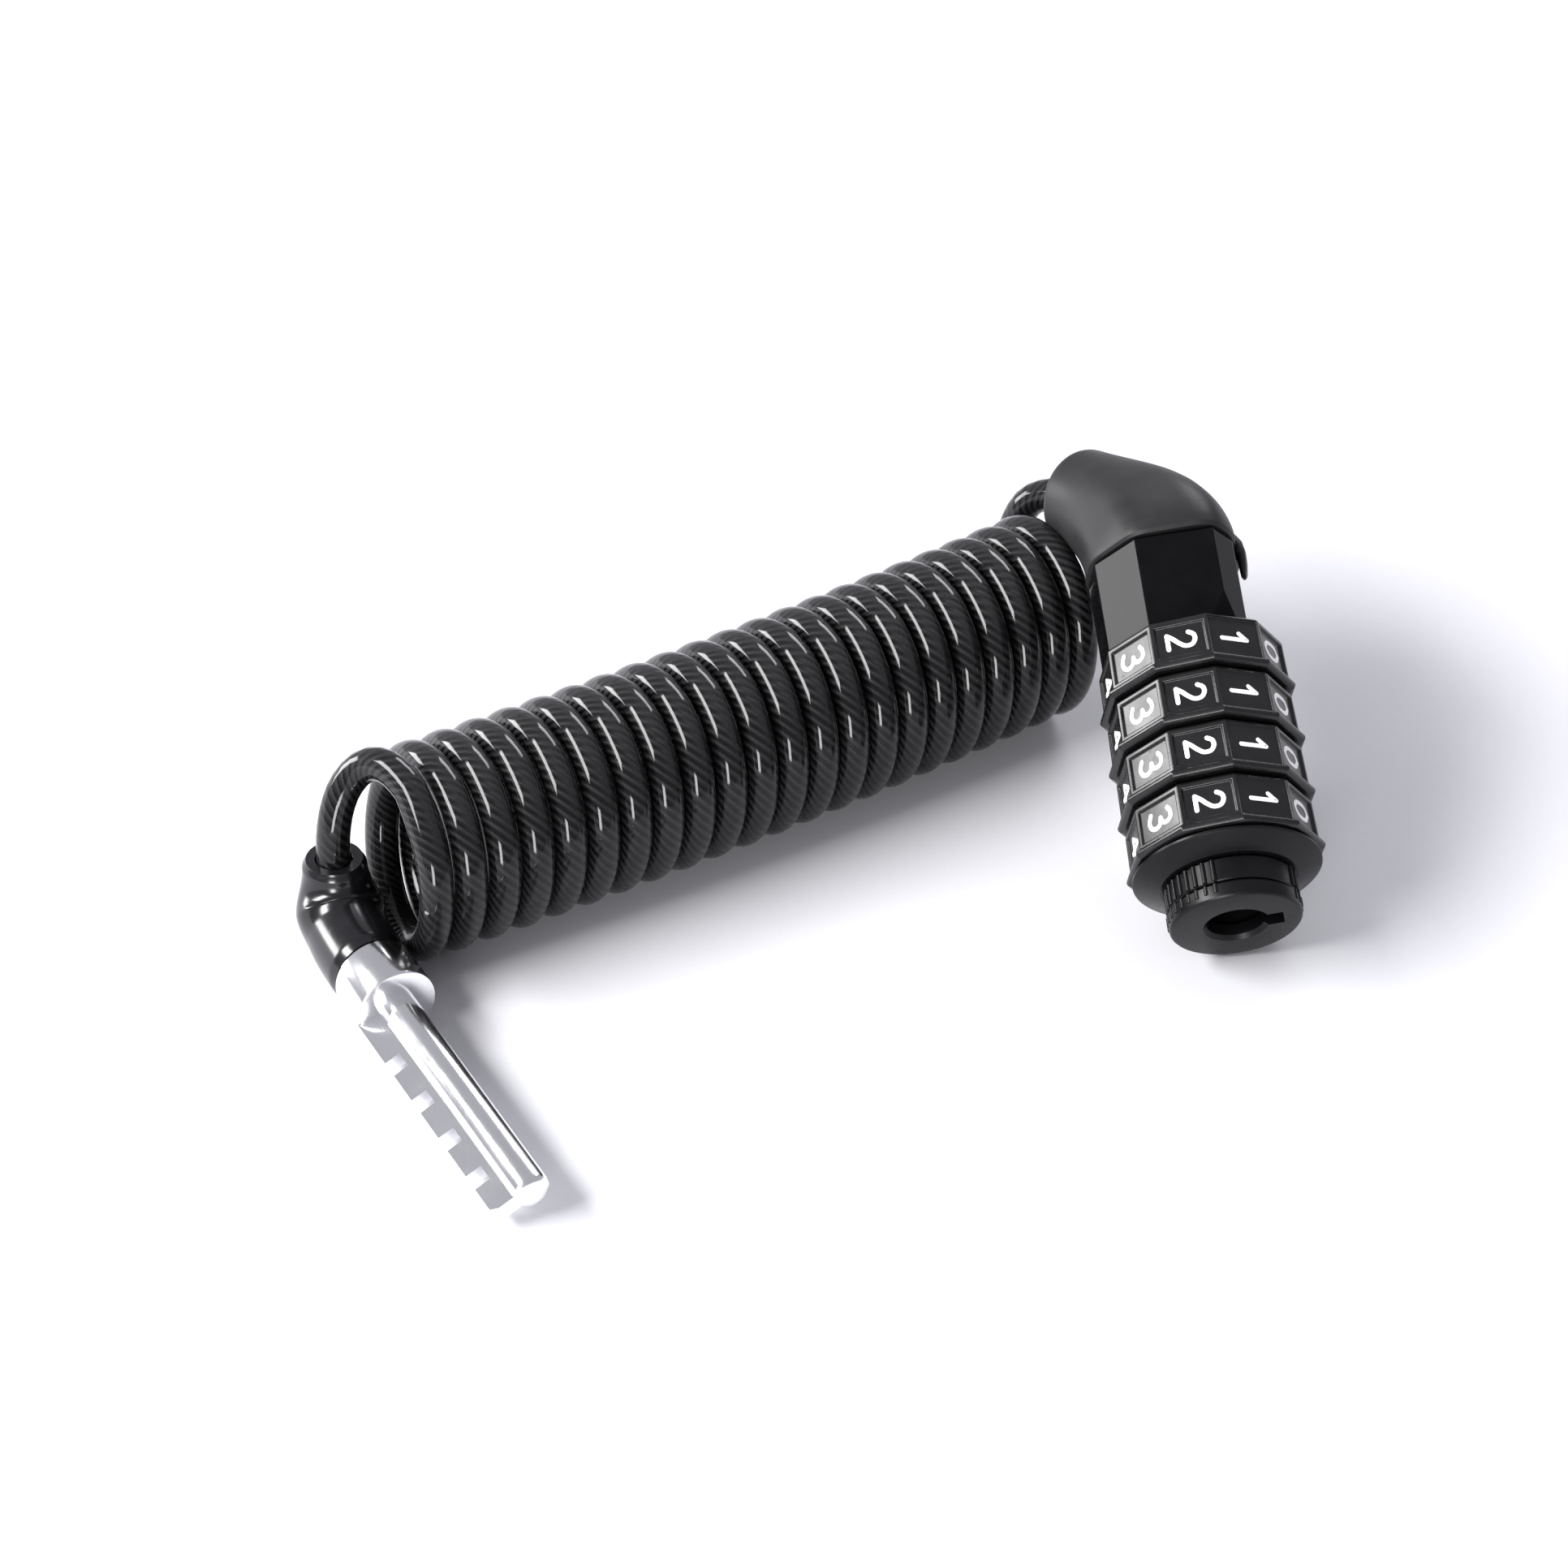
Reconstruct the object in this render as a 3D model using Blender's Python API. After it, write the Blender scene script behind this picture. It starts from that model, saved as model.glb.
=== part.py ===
"""Cable lock: a four-dial combination lock, its notched locking bolt and their coiled cable.

Sizes are in millimetres and are scaled to metres where a mesh is written.
The lock is modelled along its own axis: Z runs from the nose face to the elbow,
-Y is the side that faces up, and an empty tilts the whole lock so that it leans
back on its first dial with the elbow raised.
"""

import math

import bmesh
import bpy
from mathutils import Matrix, Vector

MM = 0.001
GAP = 0.3

# Places on the table: the lock's own box is centred over the origin
NOSE_AT = (0.86, -33.52, 7.95)
CABLE_DATUM = (0.93, -32.95)
LOCK_TILT = math.radians(23.9)
LOCK_ROLL = math.radians(12.1)

# Nose and setting ring
NOSE_RADIUS = 8.2
NOSE_DEPTH = 2.1
KEYHOLE_RADIUS = 3.6
KEYHOLE_LEAD = 0.5
SLOT_WIDTH = 2.8
SLOT_REACH = 5.4
SPIGOT_RADII = (4.3, 5.4)
SET_RING_SPAN = (2.4, 5.4)
SET_RING_BORE = 6.9
SET_RING_RIDGES = 30
FLANGE_SPAN = (5.7, 7.5)
FLANGE_RADII = (8.7, 11.7)
THRUST_RING_SPAN = (2.5, 3.4)
THRUST_RING_RADII = (5.6, 6.6)
THRUST_PIN_RADIUS = 0.42
THRUST_PIN_CIRCLE = 6.02
THRUST_PIN_ANGLES = (55.0, 175.0, 295.0)

# Dials
DIAL_COUNT = 4
DIGITS = 10
DIAL_PITCH = 7.5
DIAL_LENGTH = DIAL_PITCH - GAP
DIAL_START = FLANGE_SPAN[1] + GAP
DIAL_BORE = 8.7
DIAL_RIM = 12.35
DIAL_BODY = 11.75
PANEL_INSET = 0.55
PANEL_DEPTH = 0.35
SPLINE_RADIUS = 7.9
SPLINE_LENGTH = 2.0
POINTER_ANGLE = -57.3
DIGIT_ANGLE = 360.0 / DIGITS

# Code rings, one inside each dial
CODE_HUB_RADII = (5.6, 6.4)
CODE_LIP_RADIUS = 3.9
CODE_LIP_DEPTH = 1.9
CODE_LUG_REACH = 8.3
CODE_LUG_WIDTH = 2.0
CODE_LUG_SPAN = (0.35, 1.7)

# Core sleeve, plunger and springs
SLEEVE_RADII = (2.7, 3.6)
SLEEVE_SPAN = (5.7, 47.0)
PLUNGER_SPAN = (34.0, 41.0)
PLUNGER_RADIUS = 2.35
PLUNGER_SPRING_SPAN = (41.35, 46.9)
PLUNGER_SPRING_RADIUS = 1.9
PLUNGER_WIRE = 0.55
CLUTCH_SPRING_SPAN = (38.2, 45.6)
CLUTCH_SPRING_RADIUS = 6.0
CLUTCH_WIRE = 0.6

# Neck housing: outline seen along the axis, front corners first
NECK_SPAN = (37.8, 50.6)
NECK_OUTLINE = (
    (-11.0, 0.6), (-9.7, -4.7), (-4.1, -9.3), (5.6, -8.7), (7.8, -4.6),
    (7.8, 4.6), (4.6, 8.6), (-5.0, 9.3), (-9.7, 5.6),
)
NECK_CHAMBER_RADIUS = 6.7
NECK_CHAMBER_DEPTH = 8.2
NECK_STUB_END = 56.0
NECK_STUB_RADIUS = 6.2
NECK_CENTRE_X = -1.6
POINTER_HEIGHT = 3.7
POINTER_DEPTH = 1.0
CIRCLIP_RADII = (5.5, 6.9)
CIRCLIP_SPAN = (53.4, 54.2)

# Elbow boot
ELBOW_MOUTH = Vector((-10.55, 8.0, 68.3))
ELBOW_MOUTH_DIRECTION = Vector((-0.647, 0.489, 0.585)).normalized()
ELBOW_MOUTH_RADIUS = 6.7
ELBOW_HANDLES = (4.0, 7.0)
ELBOW_NARROWING = 1.08
ELBOW_SKIRT = 0.5
ELBOW_SEGMENTS = 36
ELBOW_RINGS = 15

# Key: bolt, collar and boot
BOLT_COLLAR_RADIUS = 5.1
BOLT_COLLAR_LENGTH = 7.0
BOLT_SHANK_RADIUS = 3.0
BOLT_SHANK_LENGTH = 7.0
BOLT_BAR_RADIUS = 2.35
BOLT_WEB_WIDTH = 2.0
BOLT_WEB_REACH = 5.1
BOLT_ROOT = 7.5
BOLT_NOTCH_WIDTH = 2.5
BOLT_NOTCH_FLOOR = 3.0
BOLT_ROLL = math.radians(24.0)
BOLT_HEADING = math.radians(21.1)
BOLT_FACE_AT = (-101.8, -0.25, 5.12)
BOLT_LENGTH = BOLT_ROOT + DIAL_COUNT * DIAL_PITCH
KEY_CUFF_AT = (-108.0, 19.7, 12.8)
KEY_BOOT_RADII = ((0.0, 4.7), (0.05, 5.08), (0.35, 5.1), (0.6, 5.5), (0.75, 5.2),
                  (0.9, 4.2), (0.97, 3.75), (1.0, 3.4))

# Crimped cable ends
FERRULE_RADII = (2.35, 2.85)
FERRULE_LENGTH = 6.0
FERRULE_SINK = 1.6
FERRULE_PIN_RADIUS = 0.6
FERRULE_PIN_HEIGHT = 1.5
CROSS_PIN_LENGTH = 7.6

# Cable
CABLE_RADIUS = 2.1
COIL_MEAN_RADIUS = 11.15
COIL_HEADING = math.radians(25.5)
COIL_START_AT = (-101.2, 18.15)
COIL_HEIGHT = COIL_MEAN_RADIUS + CABLE_RADIUS
COIL_SPAN = (-0.4, 97.0)
COIL_BOW = 1.7

# Routes of the two free leads, each from its boot to the end of the coil:
# distance along the coil, distance behind its axis, height above the table
KEY_LEAD_ROUTE = (
    (-5.55, 4.3, 13.15), (-5.5, 4.3, 14.8), (-5.25, 4.35, 16.6), (-4.8, 4.5, 18.4), (-4.3, 4.55, 19.7),
)
LOCK_LEAD_ROUTE = (
    (99.7, 11.3, 13.6), (100.0, 11.8, 16.4), (100.7, 12.0, 19.4), (102.0, 11.1, 22.4),
    (103.3, 9.0, 24.2), (103.95, 6.6, 25.1), (104.35, 4.2, 25.87),
)

DARK_GREY = (0.045, 0.045, 0.05, 1.0)
BLACK = (0.012, 0.012, 0.013, 1.0)
SMOKE = (0.02, 0.02, 0.022, 1.0)
STEEL = (0.62, 0.62, 0.63, 1.0)
CHROME = (0.82, 0.82, 0.84, 1.0)
ZINC = (0.45, 0.46, 0.48, 1.0)
BRASS = (0.72, 0.55, 0.24, 1.0)


def clear_scene():
    for item in list(bpy.data.objects):
        bpy.data.objects.remove(item, do_unlink=True)


def material(name, colour, roughness, metallic=0.0):
    found = bpy.data.materials.get(name)
    if found:
        return found
    made = bpy.data.materials.new(name)
    made.use_nodes = True
    shader = made.node_tree.nodes["Principled BSDF"]
    shader.inputs["Base Color"].default_value = colour
    shader.inputs["Roughness"].default_value = roughness
    shader.inputs["Metallic"].default_value = metallic
    made.diffuse_color = colour
    return made


def empty(name, location_mm, rotation, parent=None):
    made = bpy.data.objects.new(name, None)
    bpy.context.scene.collection.objects.link(made)
    made.parent = parent
    made.location = Vector(location_mm) * MM
    made.rotation_euler = rotation
    return made


def link_mesh(name, bm, finish, parent, z_mm=0.0, smooth_angle=30.0):
    """Write a bmesh in millimetres as an object whose origin is at z_mm on its parent's axis."""
    bmesh.ops.recalc_face_normals(bm, faces=bm.faces)
    bmesh.ops.scale(bm, vec=(MM, MM, MM), verts=bm.verts)
    mesh = bpy.data.meshes.new(name)
    bm.to_mesh(mesh)
    bm.free()
    if finish:
        mesh.materials.append(finish)
    mesh.shade_smooth()
    mesh.set_sharp_from_angle(angle=math.radians(smooth_angle))
    made = bpy.data.objects.new(name, mesh)
    bpy.context.scene.collection.objects.link(made)
    made.parent = parent
    made.location = (0.0, 0.0, z_mm * MM)
    return made


def boolean(target, tool, operation):
    modifier = target.modifiers.new(tool.name, "BOOLEAN")
    modifier.operation = operation
    modifier.solver = "EXACT"
    modifier.object = tool
    tool.hide_render = True
    tool.display_type = "WIRE"


def cut(target, *tools):
    for tool in tools:
        boolean(target, tool, "DIFFERENCE")


def join(target, *tools):
    for tool in tools:
        boolean(target, tool, "UNION")


def circle_points(radius, segments, centre=(0.0, 0.0), start=0.0):
    step = 2.0 * math.pi / segments
    angles = [start + step * index for index in range(segments)]
    return [(centre[0] + radius * math.cos(a), centre[1] + radius * math.sin(a)) for a in angles]


def loft(rings, closed=False):
    """Skin rings of equal point counts; a closed loft joins its last ring to its first."""
    bm = bmesh.new()
    loops = [[bm.verts.new(point) for point in ring] for ring in rings]
    count = len(loops[0])
    pairs = list(zip(loops, loops[1:]))
    if closed:
        pairs.append((loops[-1], loops[0]))
    for lower, upper in pairs:
        for index in range(count):
            following = (index + 1) % count
            bm.faces.new((lower[index], lower[following], upper[following], upper[index]))
    if not closed:
        bm.faces.new(loops[0])
        bm.faces.new(loops[-1])
    return bm


def turned(profile, segments=32):
    """Turn a closed profile of (radius, z) points that stays off the axis."""
    rings = [[(x, y, z) for x, y in circle_points(radius, segments)] for radius, z in profile]
    return loft(rings, closed=True)


def turned_solid(profile, segments=32):
    """Turn an open profile of (radius, z) points and close both ends with a disc."""
    return loft([[(x, y, z) for x, y in circle_points(radius, segments)] for radius, z in profile])


def tube(inner, outer, low, high, segments=32):
    return turned([(inner, low), (outer, low), (outer, high), (inner, high)], segments)


def cylinder(radius, low, high, segments=24, centre=(0.0, 0.0)):
    rings = [[(x, y, z) for x, y in circle_points(radius, segments, centre)] for z in (low, high)]
    return loft(rings)


def prism(outline, low, high):
    return loft([[(x, y, z) for x, y in outline] for z in (low, high)])


def block(low, high):
    outline = [(low[0], low[1]), (high[0], low[1]), (high[0], high[1]), (low[0], high[1])]
    return prism(outline, low[2], high[2])


def polar(radius, degrees):
    return (radius * math.cos(math.radians(degrees)), radius * math.sin(math.radians(degrees)))


def curve_tube(name, points_mm, radius_mm, resolution, finish, parent=None):
    """A round wire or cable through the given points, with filled ends."""
    curve = bpy.data.curves.new(name, "CURVE")
    curve.dimensions = "3D"
    curve.fill_mode = "FULL"
    curve.use_fill_caps = True
    curve.bevel_depth = radius_mm * MM
    curve.bevel_resolution = resolution
    spline = curve.splines.new("POLY")
    spline.points.add(len(points_mm) - 1)
    for target, point in zip(spline.points, points_mm):
        target.co = (*(Vector(point) * MM), 1.0)
    curve.materials.append(finish)
    made = bpy.data.objects.new(name, curve)
    bpy.context.scene.collection.objects.link(made)
    made.parent = parent
    return made


def smooth_route(points, spacing):
    """Even points on a Catmull-Rom curve through a short list of route points."""
    points = [Vector(point) for point in points]
    padded = [2 * points[0] - points[1], *points, 2 * points[-1] - points[-2]]
    dense = []
    for before, start, end, after in zip(padded, padded[1:], padded[2:], padded[3:]):
        for step in range(16):
            t = step / 16.0
            dense.append(0.5 * (2 * start + (end - before) * t
                                + (2 * before - 5 * start + 4 * end - after) * t ** 2
                                + (3 * start - before - 3 * end + after) * t ** 3))
    dense.append(points[-1])
    length = sum((b - a).length for a, b in zip(dense, dense[1:]))
    count = max(2, round(length / spacing))
    even, travelled, wanted = [dense[0]], 0.0, length / count
    for a, b in zip(dense, dense[1:]):
        step = (b - a).length
        while travelled + step >= wanted * len(even) and len(even) < count:
            even.append(a.lerp(b, (wanted * len(even) - travelled) / step))
        travelled += step
    return [*even, points[-1]]


def bezier(p0, p1, p2, p3, count):
    for index in range(count):
        t = index / (count - 1)
        yield p0 * (1 - t) ** 3 + p1 * 3 * t * (1 - t) ** 2 + p2 * 3 * t * t * (1 - t) + p3 * t ** 3


def path_frames(points, side, ends):
    """A point, a side vector and a second side vector for each point of a path."""
    last = len(points) - 1
    frames = []
    for index, point in enumerate(points):
        if index in (0, last):
            along = ends[0 if index == 0 else 1]
        else:
            along = (points[index + 1] - points[index - 1]).normalized()
        side = (side - along * side.dot(along)).normalized()
        frames.append((point, side, along.cross(side)))
    return frames


def bent_solid(points, side, ends, section):
    """Sweep a section, given as a function of the share of the path, along bent points."""
    rings = []
    frames = path_frames(points, side, ends)
    for index, (point, first, second) in enumerate(frames):
        outline = section(index / (len(frames) - 1))
        rings.append([tuple(point + first * x + second * y) for x, y in outline])
    return loft(rings)


def helix_points(radius, low, high, turns, steps):
    total = turns * steps
    for index in range(total + 1):
        angle = 2.0 * math.pi * index / steps
        height = low + (high - low) * index / total
        yield (radius * math.cos(angle), radius * math.sin(angle), height)


def slot_cutter(name, width, reach, low, high, parent):
    """A box from the axis outwards along +X, wide enough for the bolt's web."""
    return link_mesh(name, block((0.0, -width / 2, low), (reach, width / 2, high)), None, parent)


# ---------------------------------------------------------------- fixed parts of the lock

def make_nose(lock):
    finish = material("satin_black_plastic", BLACK, 0.4)
    lead = KEYHOLE_RADIUS + KEYHOLE_LEAD
    inner, outer = SPIGOT_RADII
    end = SET_RING_SPAN[1]
    profile = [
        (lead, 0.0), (NOSE_RADIUS - 0.5, 0.0), (NOSE_RADIUS, 0.5), (NOSE_RADIUS, NOSE_DEPTH),
        (outer, NOSE_DEPTH), (outer, end), (inner, end), (inner, NOSE_DEPTH),
        (KEYHOLE_RADIUS, NOSE_DEPTH - 0.2), (KEYHOLE_RADIUS, KEYHOLE_LEAD),
    ]
    nose = link_mesh("nose_cap", turned(profile, 36), finish, lock)
    cut(nose, slot_cutter("nose_slot_cutter", SLOT_WIDTH, SLOT_REACH + 0.4, -1.0, end + 1.0, lock))


def make_flange(lock):
    finish = material("satin_black_plastic", BLACK, 0.4)
    low, high = FLANGE_SPAN
    bore = SLEEVE_RADII[1] + GAP
    profile = [(bore, low), (FLANGE_RADII[0], low), (FLANGE_RADII[1], high - 0.5),
               (FLANGE_RADII[1], high), (bore, high)]
    flange = link_mesh("end_flange", turned(profile, 36), finish, lock)
    cut(flange, slot_cutter("flange_slot_cutter", SLOT_WIDTH, SLOT_REACH, low - 1.0, high + 1.0, lock))
    for index, angle in enumerate(THRUST_PIN_ANGLES, 1):
        hole = cylinder(THRUST_PIN_RADIUS + GAP, low - 1.0, high + 1.0, 12, polar(THRUST_PIN_CIRCLE, angle))
        cut(flange, link_mesh(f"flange_hole_cutter_{index}", hole, None, lock))


def make_sleeve(lock):
    finish = material("bright_steel", STEEL, 0.3, 1.0)
    inner, outer = SLEEVE_RADII
    low, high = SLEEVE_SPAN
    sleeve = link_mesh("core_sleeve", tube(inner, outer, low, high, 24), finish, lock)
    cut(sleeve, slot_cutter("sleeve_slot_cutter", SLOT_WIDTH, outer + 1.0, low - 1.0, PLUNGER_SPAN[1], lock))


def make_neck(lock):
    finish = material("gloss_black_plastic", BLACK, 0.15)
    low, high = NECK_SPAN
    neck = link_mesh("neck_housing", prism(NECK_OUTLINE, low, high), finish, lock)
    stub = cylinder(NECK_STUB_RADIUS, high - 1.0, NECK_STUB_END, 24, (NECK_CENTRE_X, 0.0))
    join(neck, link_mesh("neck_stub_tool", stub, None, lock))
    groove = tube(CIRCLIP_RADII[0] - GAP, NECK_STUB_RADIUS + 1.0, CIRCLIP_SPAN[0] - GAP,
                  CIRCLIP_SPAN[1] + GAP, 24)
    bmesh.ops.translate(groove, vec=(NECK_CENTRE_X, 0.0, 0.0), verts=groove.verts)
    chamber = cylinder(NECK_CHAMBER_RADIUS, low - 1.0, low + NECK_CHAMBER_DEPTH, 32)
    bore = cylinder(SLEEVE_RADII[1] + GAP, low, SLEEVE_SPAN[1] + GAP, 24)
    cut(neck, link_mesh("neck_groove_cutter", groove, None, lock),
        link_mesh("neck_chamber_cutter", chamber, None, lock),
        link_mesh("neck_bore_cutter", bore, None, lock), pointer_cutter(lock))


def pointer_cutter(lock):
    """A plane that slices the front corner into a small triangular pointer."""
    corner = Vector((*NECK_OUTLINE[3], NECK_SPAN[0]))
    outward = Vector((*polar(1.0, POINTER_ANGLE), 0.0))
    lean = math.atan2(POINTER_DEPTH, POINTER_HEIGHT)
    bm = block((0.0, -4.0, -2.0), (4.0, 4.0, 9.0))
    turn = Matrix.Rotation(math.radians(POINTER_ANGLE), 4, "Z") @ Matrix.Rotation(lean, 4, "Y")
    place = Matrix.Translation(corner - outward * POINTER_DEPTH) @ turn
    bmesh.ops.transform(bm, matrix=place, verts=bm.verts)
    return link_mesh("pointer_cutter", bm, None, lock)


def elbow_path(count):
    start = Vector((NECK_CENTRE_X, 0.0, NECK_SPAN[1] + GAP))
    leave = start + Vector((0.0, 0.0, ELBOW_HANDLES[0]))
    arrive = ELBOW_MOUTH - ELBOW_MOUTH_DIRECTION * ELBOW_HANDLES[1]
    return list(bezier(start, leave, arrive, ELBOW_MOUTH, count))


def outline_reach(outline, angle):
    """How far a ray from the outline's middle travels before it leaves the outline."""
    ray = Vector((math.cos(angle), math.sin(angle)))
    corners = [Vector((x - NECK_CENTRE_X, y)) for x, y in outline]
    best = 0.0
    for start, end in zip(corners, corners[1:] + corners[:1]):
        edge = end - start
        crossing = ray.x * edge.y - ray.y * edge.x
        if abs(crossing) < 1e-9:
            continue
        reach = (start.x * edge.y - start.y * edge.x) / crossing
        share = (start.x * ray.y - start.y * ray.x) / crossing
        if reach > 0.0 and -1e-6 <= share <= 1.0 + 1e-6:
            best = max(best, reach)
    return best


def elbow_section(share):
    """The skirt follows the neck's outline, and the mouth is a circle with a rounded edge."""
    blend = min(1.0, share * ELBOW_NARROWING)
    blend = blend * blend * (3.0 - 2.0 * blend)
    edge = max(0.0, share - 0.92) / 0.08
    rounding = 1.0 - 0.12 * edge * edge
    outline = []
    for index in range(ELBOW_SEGMENTS):
        angle = 2.0 * math.pi * index / ELBOW_SEGMENTS
        skirt = sum(outline_reach(NECK_OUTLINE, angle + nudge) for nudge in (-0.12, 0.0, 0.12)) / 3.0
        radius = (skirt + ELBOW_SKIRT) * (1.0 - blend) + ELBOW_MOUTH_RADIUS * blend
        outline.append((radius * rounding * math.cos(angle), radius * rounding * math.sin(angle)))
    return outline


def make_elbow(lock):
    finish = material("matte_dark_rubber", DARK_GREY, 0.65)
    low = NECK_SPAN[1] + GAP
    ends = (Vector((0.0, 0.0, 1.0)), ELBOW_MOUTH_DIRECTION)
    solid = bent_solid(elbow_path(ELBOW_RINGS), Vector((1.0, 0.0, 0.0)), ends, elbow_section)
    elbow = link_mesh("elbow_boot", solid, finish, lock, smooth_angle=40.0)
    edge = NECK_OUTLINE[4][0] + GAP
    side = [(edge, low - 3.2), (edge + 0.8, low - 2.9), (edge + 1.1, low), (edge + 0.4, low + 2.6),
            (edge - 1.6, low + 2.6), (edge - 1.6, low + 0.1), (edge, low + 0.1)]
    tab = loft([[(x, y, z) for x, z in side] for y in (-1.7, 1.7)])
    socket = cylinder(NECK_STUB_RADIUS + GAP, low - 1.0, NECK_STUB_END + GAP, 24, (NECK_CENTRE_X, 0.0))
    groove = cylinder(CIRCLIP_RADII[1] + GAP, CIRCLIP_SPAN[0] - GAP, CIRCLIP_SPAN[1] + GAP, 32,
                      (NECK_CENTRE_X, 0.0))
    place = along(ELBOW_MOUTH, ELBOW_MOUTH_DIRECTION)
    bore = cylinder(FERRULE_RADII[1] + GAP, -FERRULE_SINK - FERRULE_LENGTH - GAP, 2.0, 20)
    bmesh.ops.transform(bore, matrix=place, verts=bore.verts)
    join(elbow, link_mesh("elbow_tab_tool", tab, None, lock))
    cut(elbow, link_mesh("elbow_socket_cutter", socket, None, lock),
        link_mesh("elbow_groove_cutter", groove, None, lock),
        link_mesh("elbow_bore_cutter", bore, None, lock))
    hole = cross_cylinder(FERRULE_PIN_RADIUS + GAP, CROSS_PIN_LENGTH + 2 * GAP, place)
    cut(elbow, link_mesh("elbow_pin_cutter", hole, None, lock))


def make_circlip(lock):
    """A C-shaped ring that sits half in the neck's stub and half in the elbow."""
    finish = material("bright_steel", STEEL, 0.3, 1.0)
    inner, outer = CIRCLIP_RADII
    low, high = CIRCLIP_SPAN
    rings = []
    for index in range(25):
        angle = math.radians(12.0 + 336.0 * index / 24)
        x, y = math.cos(angle), math.sin(angle)
        rings.append([(NECK_CENTRE_X + radius * x, radius * y, z)
                      for radius, z in ((inner, low), (outer, low), (outer, high), (inner, high))])
    link_mesh("retaining_ring", loft(rings), finish, lock)


def along(point, direction):
    """A matrix that stands a solid's Z axis on a point, along a direction."""
    return Matrix.Translation(point) @ direction.to_track_quat("Z", "Y").to_matrix().to_4x4()


def cross_cylinder(radius, length, place):
    """A cross pin's solid, through the closed end of the ferrule that ends at place."""
    bm = cylinder(radius, -length / 2, length / 2, 12)
    middle = Matrix.Translation((0.0, 0.0, -FERRULE_SINK - FERRULE_LENGTH + FERRULE_PIN_HEIGHT))
    bmesh.ops.transform(bm, matrix=place @ middle @ Matrix.Rotation(math.pi / 2, 4, "Y"), verts=bm.verts)
    return bm


def make_ferrule(prefix, place, parent):
    """A crimped ferrule sunk below an open mouth at place, and the cross pin that holds it."""
    steel = material("zinc_steel", ZINC, 0.35, 1.0)
    inner, outer = FERRULE_RADII
    end = -FERRULE_SINK
    start = end - FERRULE_LENGTH
    bm = turned_solid([(outer - 0.3, start), (outer, start + 0.3), (outer, end), (inner, end),
                       (inner, start + 3.2)], 20)
    bmesh.ops.transform(bm, matrix=place, verts=bm.verts)
    body = link_mesh(f"{prefix}_ferrule", bm, steel, parent)
    hole = cross_cylinder(FERRULE_PIN_RADIUS + 0.2, 3 * outer, place)
    cut(body, link_mesh(f"{prefix}_ferrule_cutter", hole, None, parent))
    pin = cross_cylinder(FERRULE_PIN_RADIUS, CROSS_PIN_LENGTH, place)
    link_mesh(f"{prefix}_ferrule_pin", pin, material("bright_steel", STEEL, 0.3, 1.0), parent)


# ---------------------------------------------------------------- moving parts of the lock

def make_setting_ring(lock):
    """The knurled ring that is turned to set a new code, and the thrust ring it pushes."""
    low, high = SET_RING_SPAN
    ridges = []
    for index in range(SET_RING_RIDGES * 2):
        radius = NOSE_RADIUS if index % 2 else NOSE_RADIUS - 0.35
        angle = math.pi * index / SET_RING_RIDGES
        ridges.append((radius * math.cos(angle), radius * math.sin(angle)))
    ring = link_mesh("setting_ring", prism(ridges, low, high), material("satin_black_plastic", BLACK, 0.4),
                     lock, low)
    for vertex in ring.data.vertices:
        vertex.co.z -= low * MM
    bore = link_mesh("setting_ring_cutter", cylinder(SET_RING_BORE, low - 1.0, high + 1.0, 32), None, lock)
    cut(ring, bore)
    finish = material("brass", BRASS, 0.35, 1.0)
    low, high = THRUST_RING_SPAN
    bm = tube(*THRUST_RING_RADII, 0.0, high - low, 36)
    thrust = link_mesh("thrust_ring", bm, finish, lock, low)
    for index, angle in enumerate(THRUST_PIN_ANGLES, 1):
        centre = polar(THRUST_PIN_CIRCLE, angle)
        pin = cylinder(THRUST_PIN_RADIUS, high - 0.3, FLANGE_SPAN[1], 10, centre)
        join(thrust, link_mesh(f"thrust_pin_tool_{index}", pin, None, lock))


def dial_outline(scale_mm):
    """A decagon whose flats face the ten digits, given its corner radius."""
    start = math.radians(POINTER_ANGLE + DIGIT_ANGLE / 2)
    return circle_points(scale_mm, DIGITS, start=start)


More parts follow.
